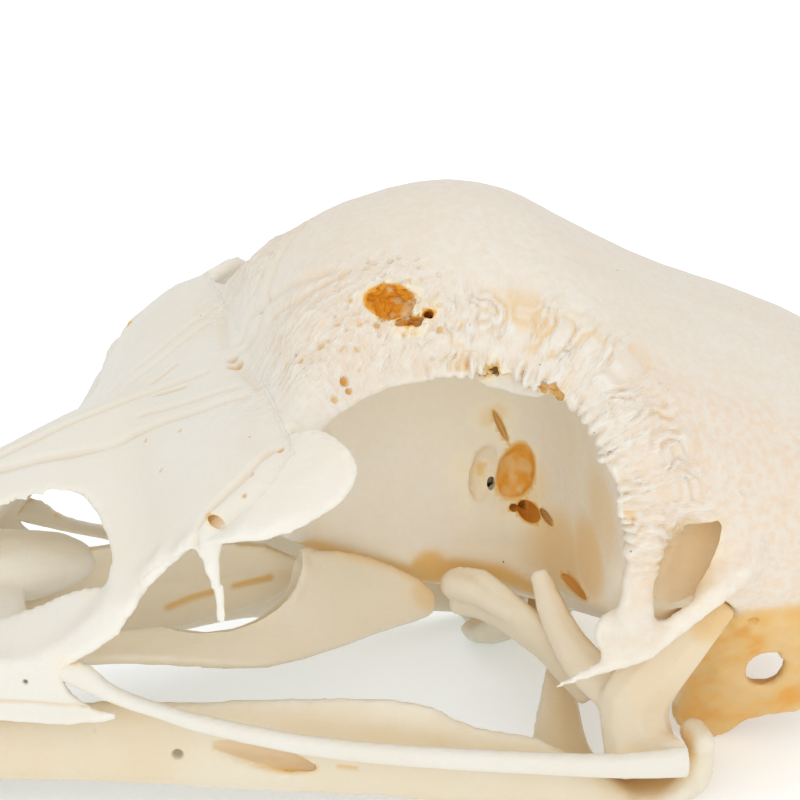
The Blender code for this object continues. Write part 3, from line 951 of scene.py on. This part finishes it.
@dataclass
class Bone:
    """One bone of the skull and how its solid is turned into it.

    Args:
        grain: Size of its skin's faces.
        easing: How often its skin is smoothed.
        samples: How many spots are measured for how shut in they are.
        swell: Height of the broad unevenness.
    """

    node: str
    finish: BoneFinish
    grain: float = 0.28
    easing: int = 3
    samples: int = 1500
    swell: float = 0.05
    hollows: tuple[Hollow, ...] = ()
    grooves: tuple[Groove, ...] = ()
    pits: tuple[Pit, ...] = ()
    strands: Strands = ()

    @property
    def side(self) -> Side:
        """The half of the head that its own marks are on."""
        return Side.RIGHT if self.node.endswith("right") else Side.LEFT

    @property
    def sides(self) -> tuple[Side, ...]:
        """The halves of the head that it lies in."""
        return tuple(Side)

    def build(self, recesses: RecessField, materials: Materials) -> None:
        """Makes the bone.

        Args:
            recesses: How shut in each spot is.
            materials: The finishes as materials, by slot name.
        """
        piece = self.start()
        lumps = Cluster()
        for side in self.sides:
            self.add_lumps(lumps, side)
        piece.graft(lumps.objects())
        piece.grow(self.grain, self.easing)
        piece.carve(self.hollows, self.side)
        for fineness in (1, 2):
            piece.refine(self.wanted(piece.spots(), piece.normals(), fineness))
        relief = Relief(piece, self.side)
        self.shape(relief)
        relief.record(recesses, self.samples)
        self.end(piece, materials)

    def start(self) -> Workpiece:
        """The bone's solid as a piece to work on."""
        return Workpiece.from_node(self.node, "bone_" + self.node)

    def end(self, piece: Workpiece, materials: Materials) -> None:
        """Puts the finished piece in the place of its solid."""
        piece.finish(materials, self.finish.name, [self.node])

    def add_lumps(self, lumps: Cluster, side: Side) -> None:
        """Adds the rods that are grown into the bone on one side."""
        for line, radius in self.strands:
            lumps.strand(side.line(line), radius)

    def wanted(self, spots: Array, normals: Array, fineness: int) -> Array:
        """Which vertices need finer faces around them.

        Args:
            spots: The vertices in millimetres.
            normals: Outward directions there.
            fineness: 1 for the first splitting and 2 for the second.

        Returns:
            True or False for each vertex.
        """
        wanted = np.zeros(len(spots), bool)
        for mark in (*self.grooves, *self.pits):
            if abs(mark.depth) < SHALLOW:
                continue
            line = mark.line if isinstance(mark, Groove) else (mark.centre,)
            reach = (mark.width if isinstance(mark, Groove) else mark.radius) + 0.75 / fineness
            for side in sides_of(mark, self.side):
                wanted |= distance(spots, side.line(line)) < reach
        return wanted

    def shape(self, relief: Relief) -> None:
        """Gathers the bone's relief."""
        relief.height += self.swell * Noise(2.6, 3, 3).at(relief.spots)
        for groove in self.grooves:
            relief.groove(groove)
        for pit in self.pits:
            relief.pit(pit)
        for hollow in self.hollows:
            relief.tint(hollow)


@dataclass
class Head(Bone):
    """Cranium, upper bill and lacrimals, grown as one skin and parted at their seams.

    Args:
        worm_width: Distance from ridge to ridge along the rim of the eye socket.
        worm_height: Height of those ridges.
        bead_step: Distance from bead to bead on the rim.
    """

    node: str = "cranium"
    finish: BoneFinish = PINKISH
    grain: float = 0.41
    easing: int = 4
    samples: int = 9000
    swell: float = 0.05
    worm_width: float = 0.82
    worm_height: float = 0.27
    bead_step: float = 0.85
    bead_size: tuple[float, float] = (0.42, 0.36)
    bill_meets: tuple[float, float] = (0.6, 25.6)
    brow_meets: tuple[float, float] = (-0.35, 24.0)
    plate_room: tuple[tuple[float, float], ...] = (
        (-12.0, 33.5), (3.7, 33.5), (3.7, 17.6), (-12.0, 17.6))
    plate_width: tuple[float, float] = (-26.0, -16.3)
    fine_round_hole: tuple[float, float] = (3.9, 1.85)
    fine_from_rim: float = 5.5
    beads_from: float = 15.5
    beads_stop: float = 4.5
    brow: tuple[Point, Point] = ((2.0, 9.0, 35.0), (6.5, 6.0, 4.6))
    ear: tuple[Point, Point] = ((31.0, 18.0, 22.5), (9.0, 5.0, 8.0))
    brow_slope: tuple[Point, ...] = ((0.55, 0.0, 0.83), (0.0, 1.0, 0.0), (-0.83, 0.0, 0.55))
    strands: Strands = (
        # Rear edge of the nasal bar
        (((-6.4, -19.3, 27.5), (-7.6, -19.3, 26.0), (-8.5, -19.0, 25.1), (-9.0, -18.3, 24.1),
          (-9.8, -17.2, 22.9), (-11.2, -16.3, 21.0), (-12.5, -16.4, 19.6), (-13.5, -16.5, 18.3),
          (-14.1, -16.2, 17.5), (-15.0, -15.7, 16.6), (-16.4, -15.0, 15.4)), 0.48),
        (((-9.7, -17.0, 23.6), (-10.4, -16.5, 22.5), (-11.1, -16.1, 21.6)), 0.55),
        # Lower edge of the maxilla
        (((-24.0, -11.9, 10.4), (-20.9, -12.9, 10.2), (-19.0, -13.3, 10.1), (-17.1, -13.9, 10.0),
          (-15.1, -14.9, 10.4), (-14.1, -15.3, 10.6), (-13.5, -15.7, 11.0)), 0.40),
        # Smooth lip on the front of the socket's rim
        (((0.4, -14.6, 31.0), (1.6, -14.2, 31.4), (3.2, -13.3, 31.7), (5.2, -12.3, 32.3),
          (7.6, -11.6, 32.7), (10.9, -11.3, 32.9), (13.2, -11.4, 32.8)), 0.52),
        # Flake under the rim
        (((13.4, -10.2, 32.3), (15.5, -10.7, 31.9), (18.0, -12.2, 31.5)), 0.50),
        (((14.1, -10.1, 31.6), (16.4, -11.0, 31.0), (17.8, -12.0, 30.9)), 0.42),
    )
    hollows: tuple[Hollow, ...] = (
        Hollow((7.6, -9.2, 37.7), (1.75, 1.5, 1.25), (-40, 12, 0), 0.55, 1.0, ragged_cell=0.7),
        Hollow((8.8, -9.9, 36.3), (1.1, 0.8, 0.42), (-35, 0, 0), 0.35, 0.8),
        Hollow((10.2, -9.9, 36.8), (0.33, 1.3, 0.33), (-35, 0, 0), 0.0, 0.9),
        Hollow((14.4, -11.3, 33.0), (0.8, 0.9, 0.5), (0, 0, 10), 0.3, 0.5, True),
        Hollow((18.2, -14.0, 31.8), (0.9, 0.9, 0.55), (0, 35, 20), 0.3, 0.6, True),
        Hollow((16.6, -1.1, 20.4), (1.15, 0.9, 2.5), (0, 12, 0), 0.12, 0.2),
        Hollow((18.8, -1.7, 20.3), (1.45, 1.4, 2.6), (0, 12, 0), 0.2, 0.86),
        Hollow((17.3, 0.0, 19.4), (0.30, 2.4, 0.55), (0, 8, 0), 0.0, 0.1),
        Hollow((20.0, -1.4, 17.3), (0.75, 1.8, 0.95), (0, -30, 0), 0.0, 0.9, True),
        Hollow((19.0, -0.8, 17.4), (0.34, 1.2, 0.34), (0, 0, 0), 0.0, 0.85, True),
        Hollow((21.0, -2.9, 17.3), (0.28, 1.2, 0.7), (0, -30, 0), 0.0, 0.5, True),
        Hollow((17.9, -0.9, 24.1), (0.26, 0.7, 1.45), (0, -24, 0), 0.0, 0.55, True),
        Hollow((22.2, -7.0, 13.3), (0.7, 2.2, 0.5), (0, 0, 10), 0.0, 0.8, True),
        Hollow((-6.6, -20.3, 26.9), (0.40, 1.2, 0.42), (0, 0, 20), 0.0, 0.3, True),
        Hollow((27.5, -17.5, 19.7), (1.7, 1.5, 4.7), (0, 29, 0), 0.0, 0.24, True),
    )
    grooves: tuple[Groove, ...] = (
        # Creases of the brow
        Groove(((-1.4, 0.8, 31.9), (-0.5, 1.7, 33.2), (0.6, -0.8, 35.6), (2.3, -3.4, 37.7),
                (4.2, -5.2, 38.9)), 0.50, 0.34, 0.15),
        Groove(((0.2, -3.2, 34.8), (2.0, -5.3, 37.0), (3.7, -6.0, 38.3), (5.2, -6.1, 39.1)),
               0.34, 0.26, 0.20),
        Groove(((19.0, -7.8, 39.8), (21.3, -6.9, 39.3), (23.6, -5.5, 38.3), (26.5, -4.6, 36.9),
                (29.6, -3.8, 35.2)), 0.9, 0.12, 0.0),
        # Straps on top of the bill
        Groove(((-4.4, -1.8, 30.6), (-7.5, -0.4, 29.1), (-10.5, -0.4, 28.3), (-13.4, -0.3, 27.3),
                (-16.4, -0.6, 26.2), (-19.3, -0.5, 25.0)), 0.30, 0.30, 0.16, False),
        Groove(((-2.7, -6.7, 31.3), (-5.0, -5.6, 30.3), (-7.0, -4.5, 29.3), (-9.4, -3.1, 28.2)),
               0.26, 0.28, 0.14),
        Groove(((-2.8, -8.5, 31.3), (-5.7, -7.3, 29.9), (-7.8, -6.0, 28.8), (-10.4, -4.7, 27.3),
                (-13.9, -3.8, 26.0), (-16.6, -2.8, 25.3), (-19.4, -1.8, 24.3)), 0.32, 0.34, 0.16),
        Groove(((-2.5, -1.3, 31.5), (-2.0, -5.0, 31.6), (-1.7, -8.2, 31.9)), 0.42, 0.30, 0.14),
        Groove(((-7.9, -1.2, 29.0), (-6.8, -1.8, 29.4), (-6.0, -2.3, 29.9)), 0.22, 0.3, 0.3),
        # Stained trough along the foot of the septum
        Groove(((2.6, -0.9, 15.9), (4.1, -0.9, 15.4), (7.1, -0.9, 14.2), (9.8, -1.1, 13.2),
                (11.7, -1.2, 12.6), (14.0, -1.4, 13.2), (17.8, -1.8, 12.4), (20.4, -2.3, 10.8)),
               0.85, 0.12, 0.56),
        # Seam between nasal and lacrimal
        Groove(((-2.5, -17.7, 30.8), (-4.8, -18.8, 29.2), (-6.6, -19.0, 27.7), (-7.6, -19.1, 26.3),
                (-8.1, -19.7, 25.2)), 0.32, 0.36, 0.20),
        # Step along the edge of the maxilla
        Groove(((-21.2, -13.1, 11.5), (-19.1, -13.8, 11.6), (-17.1, -14.5, 11.5),
                (-15.4, -15.1, 11.7)), 0.22, 0.18, 0.25),
    )
    pits: tuple[Pit, ...] = (
        Pit((3.7, -12.6, 33.3), 0.36, 0.45, 0.75), Pit((3.9, -12.8, 32.6), 0.30, 0.35, 0.7),
        Pit((2.3, -10.7, 35.4), 0.30, 0.25, 0.4), Pit((0.9, -10.7, 34.4), 0.28, 0.2, 0.4),
        Pit((6.5, -10.3, 36.4), 0.28, 0.25, 0.45), Pit((10.9, -10.6, 35.8), 0.3, 0.3, 0.45),
        Pit((2.8, -13.4, 32.3), 0.3, 0.25, 0.45), Pit((33.1, -15.8, 13.4), 0.4, 0.4, 0.7, True),
        Pit((-2.4, -2.6, 31.5), 0.6, 0.5, 0.45), Pit((-2.3, -1.3, 31.5), 0.4, 0.4, 0.4),
        Pit((-9.5, -6.4, 27.6), 0.2, 0.15, 0.4), Pit((-9.1, -10.8, 27.1), 0.2, 0.15, 0.35),
        Pit((-7.3, -8.3, 28.9), 0.2, 0.15, 0.35),
        Pit((-19.4, -13.9, 13.3), 0.2, 0.15, 0.0, False, 0.9),
        Pit((-1.9, -18.0, 30.9), 0.28, 0.3, 0.5), Pit((-4.1, -18.9, 29.7), 0.24, 0.2, 0.4),
        Pit((-4.8, -20.1, 28.7), 0.22, 0.2, 0.4),
        # Broad washes of colour at the back of the socket and in the temple
        Pit((22.5, -9.8, 16.7), 4.2, 0.0, 0.36, True),
        Pit((20.6, -5.0, 15.0), 4.6, 0.0, 0.34, True),
        Pit((23.0, -12.5, 21.5), 4.5, 0.0, 0.26, True),
        Pit((19.6, -1.2, 19.6), 3.2, 0.0, 0.22, True),
        Pit((26.6, -17.3, 19.5), 4.2, 0.0, 0.26, True),
        Pit((12.4, -1.2, 12.9), 1.9, 0.0, 0.58, True),
    )

    def start(self) -> Workpiece:
        """The four solids together, their faces at the seam moved until they meet."""
        head, bill, *plates = (Workpiece.from_node(node, node) for node in (
            "cranium", "upper_bill", "lacrimal_left", "lacrimal_right"))
        bill.meet(*self.bill_meets)
        for piece in (head, *plates):
            piece.meet(*self.brow_meets)
        head.graft([piece.obj for piece in (bill, *plates)])
        return head

    def end(self, piece: Workpiece, materials: Materials) -> None:
        """Parts the skin at the seams and puts each bone in the place of its solid."""
        front = prism([*SEAM, (-70.0, -10.0), (-70.0, 50.0)], (-40.0, 40.0))
        bill = piece.copy("bone_upper_bill")
        bill.keep(front, True)
        piece.keep(front, False)
        bill.finish(materials, IVORY.name, ["upper_bill"])
        room = prism(self.plate_room, self.plate_width)
        Workpiece(room).graft([prism(self.plate_room, [-y for y in self.plate_width[::-1]])])
        plates = piece.copy("plates")
        plates.keep(room, True)
        piece.keep(room, False)
        for block in (front, room):
            bpy.data.objects.remove(block)
        for whole, finish, nodes in ((plates, IVORY, ("lacrimal_left", "lacrimal_right")),
                                     (piece, PINKISH, ("cranium", "cranium"))):
            name = "bone_" + nodes[0].removesuffix("_left")
            halves = whole.copy(name + "_left"), whole
            whole.obj.name = name + "_right"
            for half, side, node in zip(halves, Side, nodes):
                half.halve(side)
                half.finish(materials, finish.name, [node])

    def add_lumps(self, lumps: Cluster, side: Side) -> None:
        """Adds the row of beads on one rim, and the rods."""
        line = side.line(RIM)
        legs = np.linalg.norm(np.diff(line, axis=0), axis=1)
        ends = np.concatenate([[0], np.cumsum(legs)])
        rows = np.arange(self.beads_from, ends[-1] - self.beads_stop, self.bead_step)
        least, more = self.bead_size
        for k, along in enumerate(rows):
            key = np.array([[k, side.value, 7]])
            radius = least + more * float(scatter(key, 3)[0])
            spot = np.array([np.interp(along, ends, line[:, axis]) for axis in range(3)])
            outward = spot - side.place(SOCKET_MIDDLE)
            outward /= np.linalg.norm(outward)
            spot += outward * (0.9 * float(scatter(key, 8)[0]) - 0.35)
            lumps.ball(spot, radius)
        super().add_lumps(lumps, side)

    def wanted(self, spots: Array, normals: Array, fineness: int) -> Array:
        """Finer faces along the rims and round the broken opening."""
        wanted = super().wanted(spots, normals, fineness)
        hole = np.linalg.norm(spots - np.array(self.hollows[0].centre), axis=1)
        wanted |= hole < self.fine_round_hole[fineness - 1]
        for side in Side if fineness == 1 else ():
            away, _, outer = self._from_rim(spots, normals, side)
            near = (away < self.fine_from_rim) & ((outer > 0.15) | (away < 1.5))
            wanted |= near & (spots[:, 0] > 1.0)
        return wanted

    def shape(self, relief: Relief) -> None:
        """Adds ridges, pores and broken edges to the plain marks."""
        super().shape(relief)
        spots = relief.spots
        for side in Side:
            away, along, outer = self._from_rim(spots, relief.normals, side)
            on_top = faded(outer, -0.35, 0.15)
            high = faded(spots[:, 2], 18.5, 22.0)
            rear = faded(spots[:, 0], 7.0, 13.0) * (0.2 + 0.8 * high)
            band = on_top * (1 - faded(away, 4.0, 8.5)) * (0.25 + 0.75 * rear)
            relief.height += band * self._worms(away, along, side)
            relief.height += (1 - faded(away, 0.5, 1.5)) * rear * self._scallops(along)
            # Stain and painted shade between the ridges
            relief.raise_mark("stain", band * self._worm_stain_and_shade(away, along, side))
            relief.raise_mark("ridged", band)
            near = spots[:, 1] * side.value > 0
            relief.flow[near] = self._flat(away, along, side)[near]
        self._sponge(relief)

    def _from_rim(self, spots: Array, normals: Array, side: Side) -> tuple[Array, Array, Array]:
        """Distance from the rim, length along it and how far the surface looks away from it."""
        line = side.line(RIM)
        away, along = near_line(spots, line)
        outward = spots - side.place(SOCKET_MIDDLE)
        outward /= np.linalg.norm(outward, axis=1)[:, None]
        return away, along, np.sum(outward * normals, axis=1)

    def _worms(self, away: Array, along: Array, side: Side) -> Array:
        """Height of the ridges that fan out from a rim."""
        ridge, broken = self._ridges(away, along, side)
        lumps = Noise(0.75, 27, 2).at(self._flat(away * 0.8, along, side))
        return self.worm_height * ((ridge ** 0.8) * broken - 0.45) + 0.17 * lumps

    def _scallops(self, along: Array) -> Array:
        """Height of the round lumps in a row along a rim."""
        wander = 0.8 * Noise(2.1, 53, 1).at(np.stack([along] * 3, axis=1))
        lump = np.abs(np.sin(math.pi * (along / self.bead_step + wander)))
        size = 0.6 + 0.4 * Noise(1.7, 57, 1).at(np.stack([along] * 3, axis=1))
        return 0.5 * size * lump - 0.2

    def _worm_stain_and_shade(self, away: Array, along: Array, side: Side) -> Array:
        """Colour between the ridges: partly stain, partly painted shade that makes the ridges read.
        """
        ridge, broken = self._ridges(away, along, side)
        patchy = faded(Noise(2.4, 71, 2).at(self._flat(away, along, side)), -0.25, 0.35)
        return 0.34 * (1 - faded(ridge * broken, 0.05, 0.36)) * patchy

    def _ridges(self, away: Array, along: Array, side: Side) -> tuple[Array, Array]:
        """Wavy parallel ridges, and how whole they are at each spot."""
        flat = self._flat(away, along, side)
        bend = 1.9 * Noise(2.2, 5, 2).at(flat * np.array((1.0, 1.1, 1.0)))
        ridge = 0.5 + 0.5 * np.sin(2 * math.pi * (along / self.worm_width + bend))
        gaps = Noise(1.0, 21, 1).at(flat / np.array((0.9, 1.3, 1.0)))
        return ridge, 0.2 + 0.8 * faded(gaps, -0.35, 0.15)

    def _flat(self, away: Array, along: Array, side: Side) -> Array:
        """Places on a flat map of the rim: along it, away from it and which side."""
        return np.stack([along, away, np.full(len(away), 5.3 * side.value)], axis=1)

    def _sponge(self, relief: Relief) -> None:
        """Spongy bone round the broken opening, on the brow and over the ear."""
        spots = relief.spots
        middle = np.array(self.hollows[0].centre)
        hole = 1 - faded(np.linalg.norm(spots - middle, axis=1), 2.0, 6.0)
        brow, ear = cloud(spots, *self.brow), cloud(spots, *self.ear)
        top = faded(relief.normals[:, 2], -0.3, 0.2)
        dome = faded(spots[:, 2], 33.5, 37.0) * top
        side_wall = faded(np.abs(spots[:, 1]), 12.0, 15.0) * faded(spots[:, 0], 22.0, 26.0)
        rough = np.clip(hole + 0.9 * brow * top, 0, 1)
        pores = Pores(0.8, 0.5, 3).at(spots)
        lean = spots @ np.array(self.brow_slope).T
        fibres = Noise(1.0, 61, 3).at(lean / np.array((1.9, 0.6, 0.6)))
        relief.height += rough * (0.24 * fibres - 0.22 * pores)
        relief.raise_mark("stain", rough * 0.36 * faded(pores, 0.1, 0.6))
        relief.raise_mark("porous", np.clip(hole + 0.5 * ear + 0.25 * dome, 0, 1))
        relief.raise_mark("streaked", np.clip(brow * top * 1.4 + 0.8 * hole, 0, 1))
        wing = self._wing(relief)
        front = faded(spots[:, 0], -2.0, 4.5)
        relief.raise_mark("rose", np.clip(
            0.6 * ear + 0.36 * side_wall + 0.4 * brow + 0.4 * wing + 0.50 * front, 0, 1))
        relief.height += 0.12 * side_wall * Noise(1.0, 33, 3).at(spots)

    def _wing(self, relief: Relief) -> Array:
        """Stains and roughens the wings behind the ears, and returns where they are."""
        x, _, z = relief.spots.T
        wing = (faded(x, 28.0, 31.0) * (1 - faded(z, 13.0, 16.0))
                * (1 - 0.75 * faded(x, 37.5, 45.0)))
        patches = Noise(2.4, 83, 3).at(relief.spots)
        relief.raise_mark("stain", wing * (0.44 + 0.34 * faded(patches, -0.4, 0.4)))
        relief.height += 0.18 * wing * Noise(1.1, 87, 3).at(relief.spots)
        return wing


def cloud(spots: Array, middle: Point, size: Point) -> Array:
    """1 at a middle on either side of the head and softly less around it."""
    folded = spots * np.array((1.0, 0.0, 1.0))
    folded[:, 1] = np.abs(spots[:, 1])
    return np.exp(-np.sum(((folded - np.array(middle)) / np.array(size)) ** 2, axis=1))


def prism(outline: Sequence[tuple[float, float]], across: Sequence[float]) -> Obj:
    """A block with an outline in x and z, from one y to another.

    Args:
        outline: Its corners, in order.
        across: Lowest and highest y.

    Returns:
        The new object.
    """
    count = len(outline)
    corners = [Vector((x, y, z)) * MM for y in across for x, z in outline]
    faces = [tuple(range(count)), tuple(range(2 * count - 1, count - 1, -1))]
    faces += [((i + 1) % count, i, i + count, (i + 1) % count + count) for i in range(count)]
    mesh = bpy.data.meshes.new("block")
    mesh.from_pydata(corners, [], faces)
    block = place_object("block", mesh)
    with editing(block):
        bpy.ops.mesh.normals_make_consistent(inside=False)
    return block


@dataclass
class Mandible(Bone):
    """Lower jaw, both halves with their joint plates."""

    node: str = "mandible"
    finish: BoneFinish = TAN
    grain: float = 0.33
    samples: int = 4000
    swell: float = 0.04
    hollows: tuple[Hollow, ...] = (
        Hollow((-3.0, -14.9, 6.05), (4.0, 1.25, 0.85), (0, 14, -9), 0.0, 0.22, True),
    )
    grooves: tuple[Groove, ...] = (
        Groove(((-6.3, -14.2, 6.5), (-5.2, -14.5, 5.8), (-2.9, -14.8, 5.2), (-1.0, -15.1, 4.9),
                (0.6, -15.6, 5.1)), 0.34, 0.12, 0.62),
        Groove(((0.2, -15.8, 2.9), (4.4, -16.2, 2.3), (8.0, -16.7, 1.6), (12.5, -17.4, 1.2)),
               0.26, 0.26, 0.42),
        Groove(((2.4, -16.0, 5.2), (3.6, -16.2, 5.0)), 0.22, 0.15, 0.35),
        Groove(((-46.0, -5.4, 3.4), (-38.0, -6.8, 4.4), (-30.0, -8.6, 5.2), (-22.0, -10.6, 5.8)),
               0.35, 0.12, 0.12),
    )
    pits: tuple[Pit, ...] = (
        Pit((-8.8, -13.2, 6.0), 0.42, 0.35, 0.0, False, 0.62),
        Pit((-14.4, -11.5, 7.9), 0.14, 0.1, 0.0, False, 0.9),
        Pit((-9.9, -12.7, 8.6), 0.16, 0.12, 0.0, False, 0.8),
        Pit((-15.0, -11.5, 6.0), 9.0, 0.0, 0.14, True),
        Pit((-24.0, -10.0, 5.5), 11.0, 0.0, 0.17, True),
        Pit((27.0, -17.5, 5.0), 1.8, 0.0, 0.34, True),
    )
    strands: Strands = (
        (((28.6, -16.6, 5.4), (28.9, -17.9, 5.0)), 1.05),
        (((6.6, -16.1, 8.9), (8.6, -16.2, 8.7)), 0.45),
    )


@dataclass
class Vomer:
    """The thin upright blade in the middle of the palate; its edges are rows of x and z."""

    top: tuple[tuple[float, float], ...] = (
        (-19.0, 15.2), (-15.0, 16.6), (-11.0, 17.0), (-7.0, 16.8), (-3.0, 16.4), (0.0, 15.8),
        (2.6, 14.4))
    foot: tuple[tuple[float, float], ...] = (
        (-19.0, 11.4), (-15.0, 10.0), (-11.0, 9.6), (-7.0, 9.7), (-5.0, 10.1), (-2.7, 10.6),
        (0.4, 11.3), (2.6, 12.6))
    thickness: float = 0.9
    grain: float = 0.25
    crease: float = 13.6
    grooves: tuple[Groove, ...] = (
        Groove(((-7.4, -0.4, 11.6), (-5.6, -0.4, 12.2), (-4.0, -0.4, 12.5)), 0.35, 0.2, 0.6),
        Groove(((-2.4, -0.4, 12.8), (0.4, -0.4, 13.2)), 0.28, 0.2, 0.6),
    )

    def build(self, recesses: RecessField, materials: Materials) -> None:
        """Makes the blade.

        Args:
            recesses: How shut in each spot is.
            materials: The finishes as materials, by slot name.
        """
        select_only(None)
        bpy.ops.mesh.primitive_grid_add(x_subdivisions=40, y_subdivisions=12, size=1.0)
        piece = Workpiece(bpy.context.object)
        piece.obj.name = "bone_vomer"
        flat = read_spots(piece.obj, 1.0)
        front, back = self.top[0][0], self.top[-1][0]
        x = front + (back - front) * (flat[:, 0] + 0.5)
        low = np.interp(x, *np.array(self.foot).T)
        high = np.interp(x, *np.array(self.top).T)
        z = low + (high - low) * (flat[:, 1] + 0.5)
        crease = np.exp(-((z - self.crease) / 0.5) ** 2)
        write_spots(piece.obj, np.stack([x, 0.35 * crease - 0.1, z], axis=1))
        piece.modify("SOLIDIFY", thickness=self.thickness * MM, offset=0.0)
        piece.grow(self.grain, 2)
        relief = Relief(piece, Side.LEFT)
        relief.height += 0.05 * Noise(2.2, 14, 3).at(relief.spots)
        for groove in self.grooves:
            relief.groove(groove)
        relief.record(recesses, 800)
        piece.finish(materials, CREAM.name, [])


@dataclass
class PairedBone(Bone):
    """A bone with a twin, its marks and rods given for the left one."""

    @property
    def sides(self) -> tuple[Side, ...]:
        """The half of the head that it lies in."""
        return (self.side,)


@dataclass
class Jugal(PairedBone):
    """The thin bar under the eye, its front tip drawn into the foot of the nasal bar."""

    tip_shift: Point = (-1.1, 0.0, 0.35)

    def start(self) -> Workpiece:
        """The solid with its tip drawn forwards."""
        piece = super().start()
        spots = piece.spots()
        front = faded(-spots[:, 0], 8.5, 14.0)[:, None]
        write_spots(piece.obj, spots + front * np.array(self.tip_shift))
        return piece


def small_bones(side: Side) -> list[Bone]:
    """The paired bones of one side, their marks given for the left."""
    end = "_" + side.name.lower()
    return [
        Jugal("jugal" + end, IVORY, 0.22, 3, 900, 0.03, grooves=(
            Groove(((-7.6, -16.9, 10.6), (-0.9, -18.6, 9.0), (6.1, -19.6, 7.9), (14.0, -20.4, 7.2)),
                   0.16, 0.10, 0.30, False),)),
        PairedBone("palatine" + end, CREAM, 0.26, 3, 1200, 0.05, grooves=(
            Groove(((2.6, -3.4, 17.0), (6.6, -3.3, 15.8), (9.3, -3.1, 14.7), (11.6, -3.3, 13.0)),
                   0.8, 0.0, 0.34, False),), pits=(
            Pit((-3.2, -9.6, 12.6), 0.2, 0.15, 0.0, False, 0.8),
            Pit((11.9, -4.0, 12.6), 1.9, 0.0, 0.30),), hollows=(
            Hollow((-5.0, -5.8, 17.6), (7.2, 5.2, 5.4), (0, 0, 0), 0.0, 0.0),), strands=(
            (((-3.0, -7.4, 12.6), (-1.2, -7.3, 13.2), (0.9, -6.7, 14.2), (1.9, -5.6, 15.6),
              (1.9, -4.8, 16.9), (2.6, -3.6, 16.6)), 0.40),
            (((2.2, -5.3, 15.4), (3.0, -4.4, 16.0), (4.4, -3.8, 15.8)), 0.55))),
        PairedBone("pterygoid" + end, CREAM, 0.24, 3, 700, 0.05, strands=(
            (((13.6, -4.3, 13.1), (14.6, -4.9, 12.9)), 1.15),
            (((15.0, -5.2, 12.7), (17.2, -6.9, 11.6)), 0.85))),
        PairedBone("quadrate" + end, CREAM, 0.24, 3, 1000, 0.06, pits=(
            Pit((27.8, -17.3, 11.5), 7.5, 0.0, 0.20), Pit((29.8, -18.6, 15.0), 3.4, 0.0, 0.40),
            Pit((24.5, -17.5, 3.6), 2.6, 0.0, 0.26),)),
    ]


# ---------------- studio


@dataclass(frozen=True)
class Lamp:
    """A soft square light that looks at the skull."""

    name: str
    place: Point
    size: float
    power: float

    def build(self) -> None:
        """Adds the light."""
        light = bpy.data.lights.new(self.name, "AREA")
        light.shape, light.size, light.energy = "SQUARE", self.size * MM, self.power
        holder = place_object(self.name, light)
        holder.location = Vector(self.place) * MM
        towards = Vector(LAMP_TARGET) * MM - holder.location
        holder.rotation_euler = towards.to_track_quat("-Z", "Y").to_euler()


LAMP_TARGET: Point = (5.0, 0.0, 20.0)
LAMPS = (Lamp("key", (-220.0, -260.0, 560.0), 480.0, 0.46),
         Lamp("front", (-40.0, -560.0, 250.0), 520.0, 0.72),
         Lamp("back", (200.0, 320.0, 520.0), 500.0, 0.3))


@dataclass
class Studio:
    """A pale floor and soft light around the skull."""

    floor_size: float = 3000.0
    world: float = 0.84

    def build(self) -> None:
        """Makes the floor, the lights and the pale surroundings."""
        select_only(None)
        bpy.ops.mesh.primitive_plane_add(size=self.floor_size * MM, location=(0, 0, 0))
        floor = bpy.context.object
        floor.name = "studio_floor"
        floor.data.materials.append(FloorFinish().material())
        for lamp in LAMPS:
            lamp.build()
        self._surroundings()

    def _surroundings(self) -> None:
        """Even white light from all round."""
        world = bpy.data.worlds.new("studio")
        world.use_nodes = True
        backdrop = world.node_tree.nodes["Background"]
        backdrop.inputs["Color"].default_value = (1.0, 1.0, 1.0, 1.0)
        backdrop.inputs["Strength"].default_value = self.world
        bpy.context.scene.world = world
        bpy.context.scene.view_settings.view_transform = "Standard"


@dataclass
class Viewpoint:
    """The camera at the photograph's angle."""

    target: Point = (10.4, 0.0, 26.5)
    azimuth: float = -12.5
    elevation: float = 21.5
    distance: float = 230.0
    pixels_per_mm: float = 13.5
    image: float = 800.0
    sensor: float = 36.0
    clip: tuple[float, float] = (0.005, 10.0)

    def build(self) -> None:
        """Makes the camera and puts it in use."""
        lens = bpy.data.cameras.new("photo_camera")
        lens.sensor_width = self.sensor
        lens.lens = self.sensor * self.pixels_per_mm * self.distance / self.image
        lens.clip_start, lens.clip_end = self.clip
        camera = place_object("photo_camera", lens)
        a, e = math.radians(self.azimuth), math.radians(self.elevation)
        back = Vector((math.sin(a) * math.cos(e), -math.cos(a) * math.cos(e), math.sin(e)))
        camera.location = (Vector(self.target) + back * self.distance) * MM
        camera.rotation_mode = "QUATERNION"
        camera.rotation_quaternion = (-back).to_track_quat("-Z", "Y")
        bpy.context.scene.camera = camera


def main() -> None:
    """Builds every bone, the studio and the camera."""
    logging.basicConfig(level=logging.INFO, format="%(message)s")
    recesses = RecessField(frame["nodes"])
    materials = {finish.name: finish.material() for finish in (IVORY, PINKISH, CREAM, TAN)}
    pairs = [bone for both in zip(*(small_bones(side) for side in Side)) for bone in both]
    for bone in [Head(), Mandible(), *pairs, Vomer()]:
        bone.build(recesses, materials)
    Studio().build()
    Viewpoint().build()


if __name__ == "__main__":
    main()
